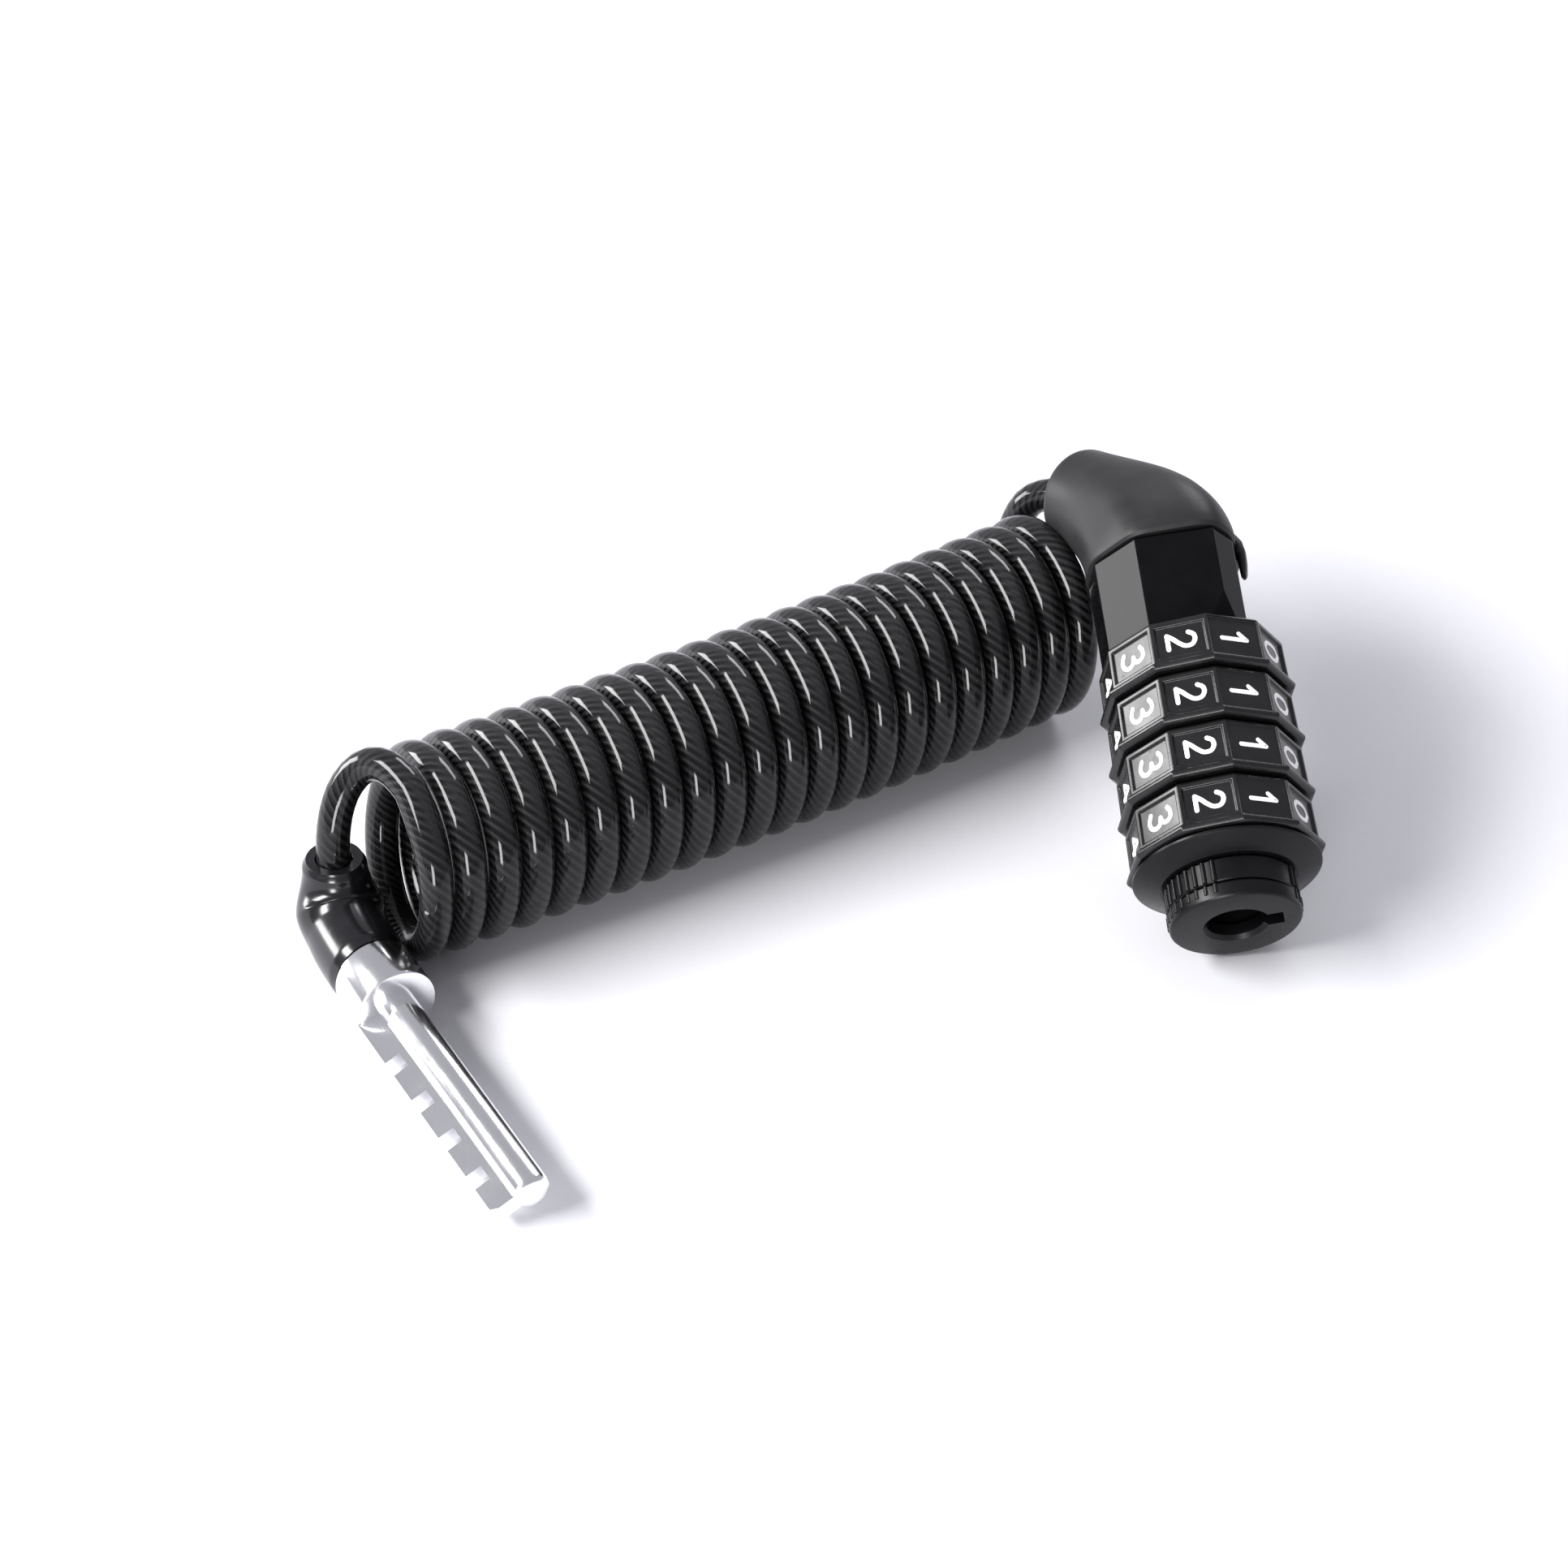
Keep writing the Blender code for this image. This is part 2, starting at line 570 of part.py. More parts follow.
def make_dial(number, z_mm, lock):
    """A ten-sided dial with a recessed panel on every face and splines in its bore."""
    half = DIAL_LENGTH / 2
    profile = [(11.9, -half), (DIAL_RIM, -half + 0.45), (DIAL_RIM - 0.15, -half + 1.0),
               (DIAL_BODY, -half + 1.2), (DIAL_BODY - 0.15, half - 0.5), (11.15, half)]
    bm = loft([[(x, y, z) for x, y in dial_outline(radius)] for radius, z in profile])
    finish = material("satin_black_plastic", BLACK, 0.4)
    dial = link_mesh(f"dial_{number}", bm, finish, lock, z_mm)
    flat = DIAL_BODY * math.cos(math.pi / DIGITS)
    width = DIAL_BODY * math.sin(math.pi / DIGITS) - PANEL_INSET
    for index in range(DIGITS):
        angle = math.radians(POINTER_ANGLE + DIGIT_ANGLE * index)
        bm = block((flat - PANEL_DEPTH, -width, -half + 1.75), (flat + 2.0, width, half - 0.95))
        bmesh.ops.rotate(bm, matrix=Matrix.Rotation(angle, 3, "Z"), verts=bm.verts)
        panel = link_mesh(f"dial_{number}_panel_cutter_{index}", bm, None, lock, z_mm)
        cut(dial, panel)
    splines = []
    for index in range(DIGITS):
        centre = POINTER_ANGLE + DIGIT_ANGLE * index
        for radius, offset in ((DIAL_BORE, -9.0), (DIAL_BORE, 0.0), (DIAL_BORE, 9.0),
                               (SPLINE_RADIUS, 10.5), (SPLINE_RADIUS, 25.5)):
            splines.append(polar(radius, centre + offset))
    first = prism(splines, -half - 1.0, half)
    plain = cylinder(DIAL_BORE, SPLINE_LENGTH - half, half + 1.0, 40)
    cut(dial, link_mesh(f"dial_{number}_spline_cutter", first, None, lock, z_mm),
        link_mesh(f"dial_{number}_bore_cutter", plain, None, lock, z_mm))


def make_code_ring(number, z_mm, lock):
    """A gated ring that a dial turns by one lug; its gate lets a tooth of the bolt past."""
    half = DIAL_LENGTH / 2
    inner, outer = CODE_HUB_RADII
    profile = [(CODE_LIP_RADIUS, -half), (outer, -half), (outer, half), (inner, half),
               (inner, -half + CODE_LIP_DEPTH), (CODE_LIP_RADIUS, -half + CODE_LIP_DEPTH)]
    ring = link_mesh(f"code_ring_{number}", turned(profile, 32), material("brass", BRASS, 0.35, 1.0),
                     lock, z_mm)
    low, high = (-half + share for share in CODE_LUG_SPAN)
    lug = block((outer - 0.3, -CODE_LUG_WIDTH / 2, low), (CODE_LUG_REACH, CODE_LUG_WIDTH / 2, high))
    bmesh.ops.rotate(lug, matrix=Matrix.Rotation(math.radians(POINTER_ANGLE), 3, "Z"), verts=lug.verts)
    join(ring, link_mesh(f"code_lug_tool_{number}", lug, None, lock, z_mm))
    gate = block((0.0, -SLOT_WIDTH / 2, -half - 1.0), (SLOT_REACH, SLOT_WIDTH / 2, half + 1.0))
    cut(ring, link_mesh(f"code_gate_cutter_{number}", gate, None, lock, z_mm))


def make_springs_and_plunger(lock):
    steel = material("bright_steel", STEEL, 0.3, 1.0)
    low, high = PLUNGER_SPAN
    profile = [(PLUNGER_RADIUS - 0.5, 0.0), (PLUNGER_RADIUS, 0.5), (PLUNGER_RADIUS, high - low)]
    link_mesh("ejector_plunger", turned_solid(profile, 24), steel, lock, low)
    for name, radius, wire, span, turns, steps in (
        ("ejector_spring", PLUNGER_SPRING_RADIUS, PLUNGER_WIRE, PLUNGER_SPRING_SPAN, 3, 12),
        ("clutch_spring", CLUTCH_SPRING_RADIUS, CLUTCH_WIRE, CLUTCH_SPRING_SPAN, 3, 16),
    ):
        points = helix_points(radius, span[0] + wire / 2, span[1] - wire / 2, turns, steps)
        curve_tube(name, list(points), wire / 2, 1, steel, lock)


# ---------------------------------------------------------------- key and cable

def table_point(x_mm, y_mm, z_mm):
    """A point of the key or the cable, measured from their datum close to the nose."""
    return Vector((CABLE_DATUM[0] + x_mm, CABLE_DATUM[1] + y_mm, z_mm))


def key_rotation():
    forward = Vector((math.sin(BOLT_HEADING), -math.cos(BOLT_HEADING), 0.0))
    left = Vector((forward.y, -forward.x, 0.0))
    web = left * math.cos(BOLT_ROLL) - Vector((0.0, 0.0, math.sin(BOLT_ROLL)))
    return Matrix((web, forward.cross(web), forward)).transposed()


def make_bolt():
    """The notched locking bolt; its local Z runs from the collar's face to the tip."""
    frame = empty("bolt_axis", table_point(*BOLT_FACE_AT), key_rotation().to_euler())
    finish = material("chrome", CHROME, 0.08, 1.0)
    tip = BOLT_LENGTH
    profile = [
        (BOLT_SHANK_RADIUS, -BOLT_COLLAR_LENGTH - BOLT_SHANK_LENGTH),
        (BOLT_SHANK_RADIUS, -BOLT_COLLAR_LENGTH),
        (BOLT_COLLAR_RADIUS - 0.3, -BOLT_COLLAR_LENGTH), (BOLT_COLLAR_RADIUS, 0.3 - BOLT_COLLAR_LENGTH),
        (BOLT_COLLAR_RADIUS, -0.4), (BOLT_COLLAR_RADIUS - 0.4, 0.0), (BOLT_BAR_RADIUS, 0.0),
        (BOLT_BAR_RADIUS, tip - 1.0), (BOLT_BAR_RADIUS - 0.35, tip - 0.3), (BOLT_BAR_RADIUS - 1.0, tip),
    ]
    bolt = link_mesh("locking_bolt", turned_solid(profile, 28), finish, frame)
    web = [(0.0, -0.5), (BOLT_WEB_REACH, -0.5)]
    for index in range(DIAL_COUNT):
        start = BOLT_ROOT + DIAL_PITCH * index
        end = start + BOLT_NOTCH_WIDTH
        web += [(BOLT_WEB_REACH, start), (BOLT_NOTCH_FLOOR, start), (BOLT_NOTCH_FLOOR, end),
                (BOLT_WEB_REACH, end)]
    web += [(BOLT_WEB_REACH, tip - 1.2), (BOLT_WEB_REACH - 1.0, tip - 0.4), (0.0, tip - 0.4)]
    half = BOLT_WEB_WIDTH / 2
    join(bolt, link_mesh("bolt_web_tool", loft([[(x, y, z) for x, z in web] for y in (-half, half)]),
                         None, frame))


def key_boot_section(share):
    """Collar end, then fuller round the bend, then a slim cuff round the cable."""
    return circle_points(interpolate(KEY_BOOT_RADII, share), 24)


def interpolate(table, value):
    for (x0, y0), (x1, y1) in zip(table, table[1:]):
        if value <= x1:
            return y0 + (y1 - y0) * (value - x0) / (x1 - x0)
    return table[-1][1]


def make_key_boot():
    """The moulded boot that turns the cable up from the bolt, with its ferrule inside."""
    finish = material("gloss_black_plastic", BLACK, 0.15)
    frame = empty("key_cuff", table_point(*KEY_CUFF_AT), (0.0, 0.0, 0.0))
    back = key_rotation() @ Vector((0.0, 0.0, -1.0))
    face = Vector(BOLT_FACE_AT) - Vector(KEY_CUFF_AT)
    start = face + back * (BOLT_COLLAR_LENGTH + GAP)
    up = Vector((0.0, 0.0, 1.0))
    points = list(bezier(start, start + back * 9.0, up * -8.5, Vector((0.0, 0.0, 0.0)), 17))
    solid = bent_solid(points, up, (back, up), key_boot_section)
    boot = link_mesh("key_boot", solid, finish, frame, smooth_angle=45.0)
    shank = cylinder(BOLT_SHANK_RADIUS + GAP, -1.0, BOLT_SHANK_LENGTH, 24)
    bmesh.ops.transform(shank, matrix=along(start, back), verts=shank.verts)
    place = Matrix.Identity(4)
    bore = cylinder(FERRULE_RADII[1] + GAP, -FERRULE_SINK - FERRULE_LENGTH - GAP, -FERRULE_SINK + GAP, 20)
    mouth = cylinder(CABLE_RADIUS + GAP, -FERRULE_SINK - 1.0, 2.0, 20)
    cross = cross_cylinder(FERRULE_PIN_RADIUS + GAP, CROSS_PIN_LENGTH + 2 * GAP, place)
    cut(boot, link_mesh("key_shank_cutter", shank, None, frame),
        link_mesh("key_bore_cutter", bore, None, frame), link_mesh("key_mouth_cutter", mouth, None, frame),
        link_mesh("key_cross_cutter", cross, None, frame))
    make_ferrule("key", place, frame)


def coil_point(along_mm, behind_mm, height_mm, bow=False):
    """A point given along the coil's axis, behind it and above the table."""
    x, y = math.cos(COIL_HEADING), math.sin(COIL_HEADING)
    if bow:
        middle = sum(COIL_SPAN) / 2
        share = (along_mm - middle) / (COIL_SPAN[1] - middle)
        behind_mm -= COIL_BOW * (1.0 - share * share)
    return table_point(COIL_START_AT[0] + along_mm * x - behind_mm * y,
                       COIL_START_AT[1] + along_mm * y + behind_mm * x, height_mm)


def make_cable():
    finish = material("smoked_vinyl", SMOKE, 0.25)
    low, high = COIL_SPAN
    axis = [coil_point(low + (high - low) * index / 15, 0.0, COIL_HEIGHT, bow=True) for index in range(16)]
    curve_tube("cable_coil", axis, COIL_MEAN_RADIUS + CABLE_RADIUS - 0.02, 4, finish)
    for name, route in (("cable_lead_key", KEY_LEAD_ROUTE), ("cable_lead_lock", LOCK_LEAD_ROUTE)):
        points = smooth_route([coil_point(*point) for point in route], 2.0)
        curve_tube(name, points, CABLE_RADIUS, 2, finish)


def lock_rotation():
    tilt = Matrix.Rotation(LOCK_TILT - math.pi / 2, 3, "X")
    roll = Matrix.Rotation(-LOCK_ROLL, 3, "Z")
    return (tilt @ roll).to_euler()


def main():
    clear_scene()
    lock = empty("lock_axis", NOSE_AT, lock_rotation())
    make_nose(lock)
    make_flange(lock)
    make_sleeve(lock)
    make_neck(lock)
    make_elbow(lock)
    make_circlip(lock)
    make_ferrule("lock", along(ELBOW_MOUTH, ELBOW_MOUTH_DIRECTION), lock)
    make_setting_ring(lock)
    for index in range(DIAL_COUNT):
        middle = DIAL_START + DIAL_LENGTH / 2 + DIAL_PITCH * (DIAL_COUNT - 1 - index)
        make_dial(index + 1, middle, lock)
        make_code_ring(index + 1, middle, lock)
    make_springs_and_plunger(lock)
    make_bolt()
    make_key_boot()
    make_cable()


main()
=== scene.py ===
"""Studio scene of an open combination cable lock that lies beside its coiled cable.

The shared frame gives the bodies and the inner metal parts.  This script makes
every outer surface: the ribbed nose, the numbered dials, the faceted neck, the
rubber elbow, the smoked cable and the plated bolt.  Sizes are in millimetres
and become metres when a mesh is written.
"""

from __future__ import annotations

import logging
import math
from dataclasses import dataclass
from enum import Enum
from typing import Callable, Iterable, Sequence

import bmesh
import bpy
from mathutils import Matrix, Vector

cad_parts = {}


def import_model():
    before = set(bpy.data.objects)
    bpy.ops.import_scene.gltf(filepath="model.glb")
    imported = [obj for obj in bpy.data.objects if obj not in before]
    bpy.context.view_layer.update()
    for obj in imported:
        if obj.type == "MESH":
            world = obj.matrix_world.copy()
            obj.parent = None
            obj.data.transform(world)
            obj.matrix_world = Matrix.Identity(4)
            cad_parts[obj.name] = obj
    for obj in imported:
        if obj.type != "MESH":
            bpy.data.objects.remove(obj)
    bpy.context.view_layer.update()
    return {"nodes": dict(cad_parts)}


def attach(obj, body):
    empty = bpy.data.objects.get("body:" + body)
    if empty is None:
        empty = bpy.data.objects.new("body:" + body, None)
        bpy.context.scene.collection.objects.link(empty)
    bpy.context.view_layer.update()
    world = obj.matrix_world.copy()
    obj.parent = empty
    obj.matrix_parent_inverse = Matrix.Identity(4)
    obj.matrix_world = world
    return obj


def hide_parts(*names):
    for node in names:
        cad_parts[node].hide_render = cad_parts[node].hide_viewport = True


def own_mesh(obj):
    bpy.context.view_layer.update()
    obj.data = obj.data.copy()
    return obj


LOG = logging.getLogger("cable_lock")
MM = 0.001
GAP = 0.3
UP = Vector((0.0, 0.0, 1.0))

BMesh = bmesh.types.BMesh
Material = bpy.types.Material
Node = bpy.types.Node
Piece = bpy.types.Object
Link = tuple[Node, str | int]
Pair = tuple[float, float]
Triple = tuple[float, float, float]
Outline = list[Pair]
Ring = list[Vector]

NOSE_AT = Vector((0.86, -33.52, 7.95))
LOCK_TILT = math.radians(23.9)
LOCK_ROLL = math.radians(12.1)
CABLE_DATUM = Vector((0.93, -32.95, 0.0))
POINTER_ANGLE = -57.3
DIAL_PITCH = 7.5
DIAL_COUNT = 4
FIRST_DIAL_AT = 7.8
DIGITS = 10
DIGIT_STEP = 360.0 / DIGITS
PIN_ANGLES = (55.0, 175.0, 295.0)
SHEATH_MAP_MM = 10.0


class Body(str, Enum):
    """Bodies that pieces ride on, other than the dials."""

    LOCK = "lock_body"
    SETTING_RING = "setting_ring"


class Slot(str, Enum):
    """Names of the material slots."""

    SATIN = "satin_black_plastic"
    GLOSS = "gloss_black_plastic"
    RUBBER = "matte_dark_rubber"
    VINYL = "smoked_vinyl"
    CHROME = "chrome"
    STEEL = "bright_steel"


# ------------------------------------------------------------------ finishes


class NodeDesk:
    """Builds one material's node tree."""

    def __init__(self, name: str) -> None:
        """Start a material with an empty Principled shader.

        Args:
            name: The material's name.
        """
        self.material = bpy.data.materials.new(name)
        self.material.use_nodes = True
        self.tree = self.material.node_tree
        self.shader = self.tree.nodes["Principled BSDF"]

    def add(self, kind: str, inputs: dict[str | int, object] | None = None, **settings: object) -> Node:
        """Add a node.

        Args:
            kind: Node type without its ShaderNode prefix.
            inputs: Socket values, or (node, output) pairs to link.
            settings: Properties of the node.

        Returns:
            The new node.
        """
        node = self.tree.nodes.new(f"ShaderNode{kind}")
        for key, value in settings.items():
            setattr(node, key, value)
        for key, value in (inputs or {}).items():
            self.feed(node, key, value)
        return node

    def feed(self, node: Node, key: str | int, value: object) -> None:
        """Set or link one input.

        Args:
            node: The node that receives.
            key: Input name or index.
            value: A socket value, or a (node, output) pair.
        """
        if isinstance(value, tuple) and len(value) == 2 and isinstance(value[0], Node):
            self.tree.links.new(value[0].outputs[value[1]], node.inputs[key])
        else:
            node.inputs[key].default_value = value

    def set(self, **values: object) -> None:
        """Set or link the shader's own sockets, with underscores for spaces."""
        for key, value in values.items():
            self.feed(self.shader, key.replace("_", " "), value)

    def math(self, operation: str, first: object, second: object = 0.0) -> Link:
        """Add a Math node and give the pair that links its result."""
        return (self.add("Math", {0: first, 1: second}, operation=operation), "Value")

    def noise(self, size_mm: float, detail: float = 3.0, stretch: Sequence[float] = (1.0, 1.0, 1.0),
              turn: Sequence[float] = (0.0, 0.0, 0.0)) -> Link:
        """Add noise on object coordinates.

        Args:
            size_mm: Size of one blotch.
            detail: Noise detail.
            stretch: Mapping scale along the turned axes.
            turn: Mapping rotation in radians.

        Returns:
            The pair that links its factor.
        """
        place = self.add("TexCoord")
        mapping = self.add("Mapping", {"Vector": (place, "Object"), "Rotation": tuple(turn),
                                       "Scale": tuple(stretch)})
        noise = self.add("TexNoise", {"Vector": (mapping, "Vector"), "Scale": 1000.0 / size_mm,
                                      "Detail": detail, "Roughness": 0.55})
        return (noise, "Fac")

    def spread(self, factor: object, low: float, high: float, start: float = 0.3,
               end: float = 0.7) -> Link:
        """Map a factor between start and end to a value between low and high."""
        node = self.add("MapRange", {"Value": factor, "From Min": start, "From Max": end,
                                     "To Min": low, "To Max": high})
        return (node, "Result")

    def blend(self, factor: object, first: Sequence[float], second: Sequence[float]) -> Link:
        """Mix two colours by a factor and give the pair that links the result."""
        node = self.add("Mix", {0: factor, 6: (*first, 1.0), 7: (*second, 1.0)}, data_type="RGBA")
        return (node, 2)

    def bump(self, height: object, depth_mm: float, strength: float = 1.0,
             normal: object | None = None) -> Link:
        """Add a bump.

        Args:
            height: Height value or link.
            depth_mm: Depth of a full height step.
            strength: Share of the effect.
            normal: An earlier bump to build on.

        Returns:
            The pair that links the normal.
        """
        inputs: dict[str | int, object] = {"Height": height, "Distance": depth_mm * MM, "Strength": strength}
        if normal is not None:
            inputs["Normal"] = normal
        return (self.add("Bump", inputs), "Normal")


@dataclass(frozen=True)
class MouldedPlastic:
    """Black moulding with fine grain, uneven gloss and faint scuffs."""

    name: str
    dark: Triple
    light: Triple
    roughness: Pair
    grain_mm: float
    grain_depth_mm: float
    shine: float = 0.3

    def make(self) -> Material:
        """Build the material."""
        desk = NodeDesk(self.name)
        cloud = desk.noise(5.0)
        grain = desk.noise(self.grain_mm, 2.0)
        scuff = desk.noise(0.6, 4.0, (1.0, 1.0, 0.15))
        scuffed = desk.math("MULTIPLY", desk.spread(scuff, 0.0, 1.0, 0.62, 0.78), 0.12)
        base = desk.blend(desk.spread(cloud, 0.0, 1.0), self.dark, self.light)
        rough = desk.math("ADD", desk.spread(cloud, *self.roughness), scuffed)
        normal = desk.bump(grain, self.grain_depth_mm)
        desk.set(Base_Color=base, Roughness=rough, Normal=normal, Specular_IOR_Level=self.shine, IOR=1.49)
        return desk.material


@dataclass(frozen=True)
class SmokedVinyl:
    """Clear smoky sheath over a twisted wire rope, drawn on the cable's own UV map; the strand crests carry a
    painted highlight in the base colour.
    """

    name: str
    strands: int = 8
    strand_spacing_mm: float = 1.2

    def make(self) -> Material:
        """Build the material."""
        desk = NodeDesk(self.name)
        uv = desk.add("UVMap", uv_map="sheath")
        parts = desk.add("SeparateXYZ", {0: (uv, "UV")})
        around = desk.math("MULTIPLY", (parts, "X"), float(self.strands))
        along = desk.math("MULTIPLY", (parts, "Y"), SHEATH_MAP_MM / self.strand_spacing_mm)
        phase = desk.math("ADD", around, along)
        crest = desk.math("ABSOLUTE", desk.math("SINE", desk.math("MULTIPLY", phase, math.pi)))
        fine = desk.math("SUBTRACT", desk.math("MULTIPLY", around, 6.0), desk.math("MULTIPLY", along, 2.0))
        wires = desk.math("ABSOLUTE", desk.math("SINE", desk.math("MULTIPLY", fine, math.pi)))
        cloud = desk.noise(2.5)
        # Painted highlight: the base colour is lighter along the strand crests, standing in for glints on the
        # wire rope under the sheath.
        glint = desk.math("MULTIPLY", desk.math("POWER", crest, 3.0), desk.spread(cloud, 0.35, 1.0))
        base = desk.blend(glint, (0.001, 0.001, 0.0012), (0.012, 0.012, 0.013))
        rope = desk.bump(crest, 0.3)
        normal = desk.bump(wires, 0.04, 0.6, rope)
        desk.set(Base_Color=base, Roughness=desk.spread(cloud, 0.4, 0.55), Normal=normal,
                 Specular_IOR_Level=0.1, Coat_Weight=0.9, Coat_Roughness=0.08, Coat_IOR=1.34)
        return desk.material


@dataclass(frozen=True)
class PlatedMetal:
    """Plated or drawn metal with fine lines along one direction and clouded gloss."""

    name: str
    colour: Triple
    shade: Triple
    roughness: Pair
    line_depth_mm: float = 0.002
    turn: Triple = (0.0, 0.0, 0.0)

    def make(self) -> Material:
        """Build the material."""
        desk = NodeDesk(self.name)
        cloud = desk.noise(6.0)
        lines = desk.noise(0.25, 4.0, (1.0, 0.04, 1.0), self.turn)
        base = desk.blend(desk.spread(cloud, 0.0, 1.0), self.colour, self.shade)
        gloss = desk.math("ADD", desk.math("MULTIPLY", cloud, 0.7), desk.math("MULTIPLY", lines, 0.3))
        rough = desk.spread(gloss, *self.roughness)
        desk.set(Base_Color=base, Metallic=1.0, Roughness=rough, Normal=desk.bump(lines, self.line_depth_mm))
        return desk.material


@dataclass(frozen=True)
class PrintedPaint:
    """White ink that sits a little proud and is slightly worn."""

    name: str = "white_digit_paint"

    def make(self) -> Material:
        """Build the material."""
        desk = NodeDesk(self.name)
        wear = desk.noise(0.35, 4.0)
        base = desk.blend(desk.spread(wear, 0.0, 1.0, 0.2, 0.8), (0.78, 0.78, 0.78), (0.93, 0.93, 0.92))
        desk.set(Base_Color=base, Roughness=desk.spread(wear, 0.38, 0.55), Normal=desk.bump(wear, 0.02))
        return desk.material


@dataclass(frozen=True)
class TablePaper:
    """Pale matt paper under the lock."""

    name: str = "table_paper"

    def make(self) -> Material:
        """Build the material."""
        desk = NodeDesk(self.name)
        fibre = desk.noise(1.2, 5.0)
        base = desk.blend(desk.spread(fibre, 0.0, 1.0), (0.6, 0.6, 0.625), (0.61, 0.61, 0.632))
        desk.set(Base_Color=base, Roughness=0.9, Specular_IOR_Level=0.1, Normal=desk.bump(fibre, 0.01))
        return desk.material


@dataclass(frozen=True)
class FinishSet:
    """Every material of the scene, made once."""

    satin: Material
    dial: Material
    gloss: Material
    boot: Material
    rubber: Material
    vinyl: Material
    chrome: Material
    steel: Material
    zinc: Material
    brass: Material
    paint: Material
    paper: Material

    @classmethod
    def make(cls) -> FinishSet:
        """Build all materials."""
        black, soot = (0.0025, 0.0025, 0.003), (0.005, 0.005, 0.0055)
        return cls(
            satin=MouldedPlastic("satin_nose_plastic", black, soot, (0.24, 0.34), 0.12, 0.004, 0.18).make(),
            dial=MouldedPlastic("satin_dial_plastic", (0.003, 0.003, 0.0033), (0.006, 0.006, 0.0065),
                                (0.24, 0.33), 0.1, 0.004, 0.45).make(),
            gloss=MouldedPlastic("polished_neck_plastic", black, (0.004, 0.004, 0.0045), (0.05, 0.1), 0.6,
                                 0.001, 0.06).make(),
            boot=MouldedPlastic("polished_boot_plastic", black, (0.005, 0.0045, 0.006), (0.16, 0.24), 0.8,
                                0.003, 0.5).make(),
            rubber=MouldedPlastic("soft_elbow_rubber", (0.012, 0.0117, 0.0125), (0.017, 0.0165, 0.0175),
                                  (0.4, 0.5), 0.14, 0.008, 0.24).make(),
            vinyl=SmokedVinyl("smoked_vinyl_sheath").make(),
            chrome=PlatedMetal("bolt_chrome", (0.86, 0.86, 0.88), (0.78, 0.78, 0.8), (0.1, 0.2), 0.0015,
                               (0.0, 0.0, math.radians(-21.1))).make(),
            steel=PlatedMetal("drawn_steel", (0.6, 0.6, 0.61), (0.5, 0.5, 0.52), (0.22, 0.36)).make(),
            zinc=PlatedMetal("zinc_ferrule", (0.5, 0.51, 0.53), (0.38, 0.39, 0.41), (0.3, 0.45)).make(),
            brass=PlatedMetal("turned_brass", (0.66, 0.47, 0.19), (0.5, 0.34, 0.13), (0.22, 0.38)).make(),
            paint=PrintedPaint().make(),
            paper=TablePaper().make(),
        )


# ------------------------------------------------------------------ mesh work


def polar(radius: float, degrees: float) -> Pair:
    """Turn a radius and an angle in degrees into x and y."""
    return (radius * math.cos(math.radians(degrees)), radius * math.sin(math.radians(degrees)))


def circle(radius: float, segments: int, start: float = 0.0) -> Outline:
    """List points round a circle, from start degrees."""
    return [polar(radius, start + 360.0 * index / segments) for index in range(segments)]


def flat_ring(outline: Iterable[Pair], height: float) -> Ring:
    """Place an outline at a height."""
    return [Vector((x, y, height)) for x, y in outline]


def skin(rings: Sequence[Ring], closed: bool = False, caps: bool = True) -> BMesh:
    """Skin rings of equal counts.

    Args:
        rings: Rings of points.
        closed: Join the last ring to the first.
        caps: Fill the open ends.

    Returns:
        The skinned mesh.
    """
    bm = bmesh.new()
    loops = [[bm.verts.new(point) for point in ring] for ring in rings]
    count = len(loops[0])
    pairs = list(zip(loops, loops[1:])) + ([(loops[-1], loops[0])] if closed else [])
    for lower, upper in pairs:
        for index in range(count):
            after = (index + 1) % count
            bm.faces.new((lower[index], lower[after], upper[after], upper[index]))
    if caps and not closed:
        bm.faces.new(loops[0])
        bm.faces.new(loops[-1])
    return bm


def lathe(profile: Outline, segments: int = 96) -> BMesh:
    """Turn a closed (radius, height) profile that stays off the axis."""
    return skin([flat_ring(circle(radius, segments), height) for radius, height in profile], closed=True)


def lathe_solid(profile: Outline, segments: int = 64) -> BMesh:
    """Turn an open (radius, height) profile and cap its ends."""
    return skin([flat_ring(circle(radius, segments), height) for radius, height in profile])


def block(low: Sequence[float], high: Sequence[float]) -> BMesh:
    """Make a box between two corners."""
    outline = [(low[0], low[1]), (high[0], low[1]), (high[0], high[1]), (low[0], high[1])]
    return skin([flat_ring(outline, low[2]), flat_ring(outline, high[2])])


def rod(radius: float, low: float, high: float, centre: Pair = (0.0, 0.0),
        segments: int = 64) -> BMesh:
    """Make a cylinder along Z."""
    outline = [(x + centre[0], y + centre[1]) for x, y in circle(radius, segments)]
    return skin([flat_ring(outline, low), flat_ring(outline, high)])


def merge(*parts: BMesh) -> BMesh:
    """Gather separate closed shells in one mesh.

    Args:
        parts: Meshes to gather; they are freed.

    Returns:
        The gathered mesh.
    """
    whole = bmesh.new()
    for part in parts:
        mesh = bpy.data.meshes.new("gathered")
        part.to_mesh(mesh)
        part.free()
        whole.from_mesh(mesh)
        bpy.data.meshes.remove(mesh)
    return whole


def frames_along(points: Sequence[Vector], side: Vector) -> list[tuple[Vector, Vector, Vector]]:
    """Carry two side vectors along a path without twist.

    Args:
        points: The path.
        side: A first side vector.

    Returns:
        A point and its two side vectors, for each point.
    """
    frames = []
    last = len(points) - 1
    for index, point in enumerate(points):
        ahead, behind = points[min(index + 1, last)], points[max(index - 1, 0)]
        along = (ahead - behind).normalized()
        side = (side - along * side.dot(along)).normalized()
        frames.append((point, side, along.cross(side)))
    return frames


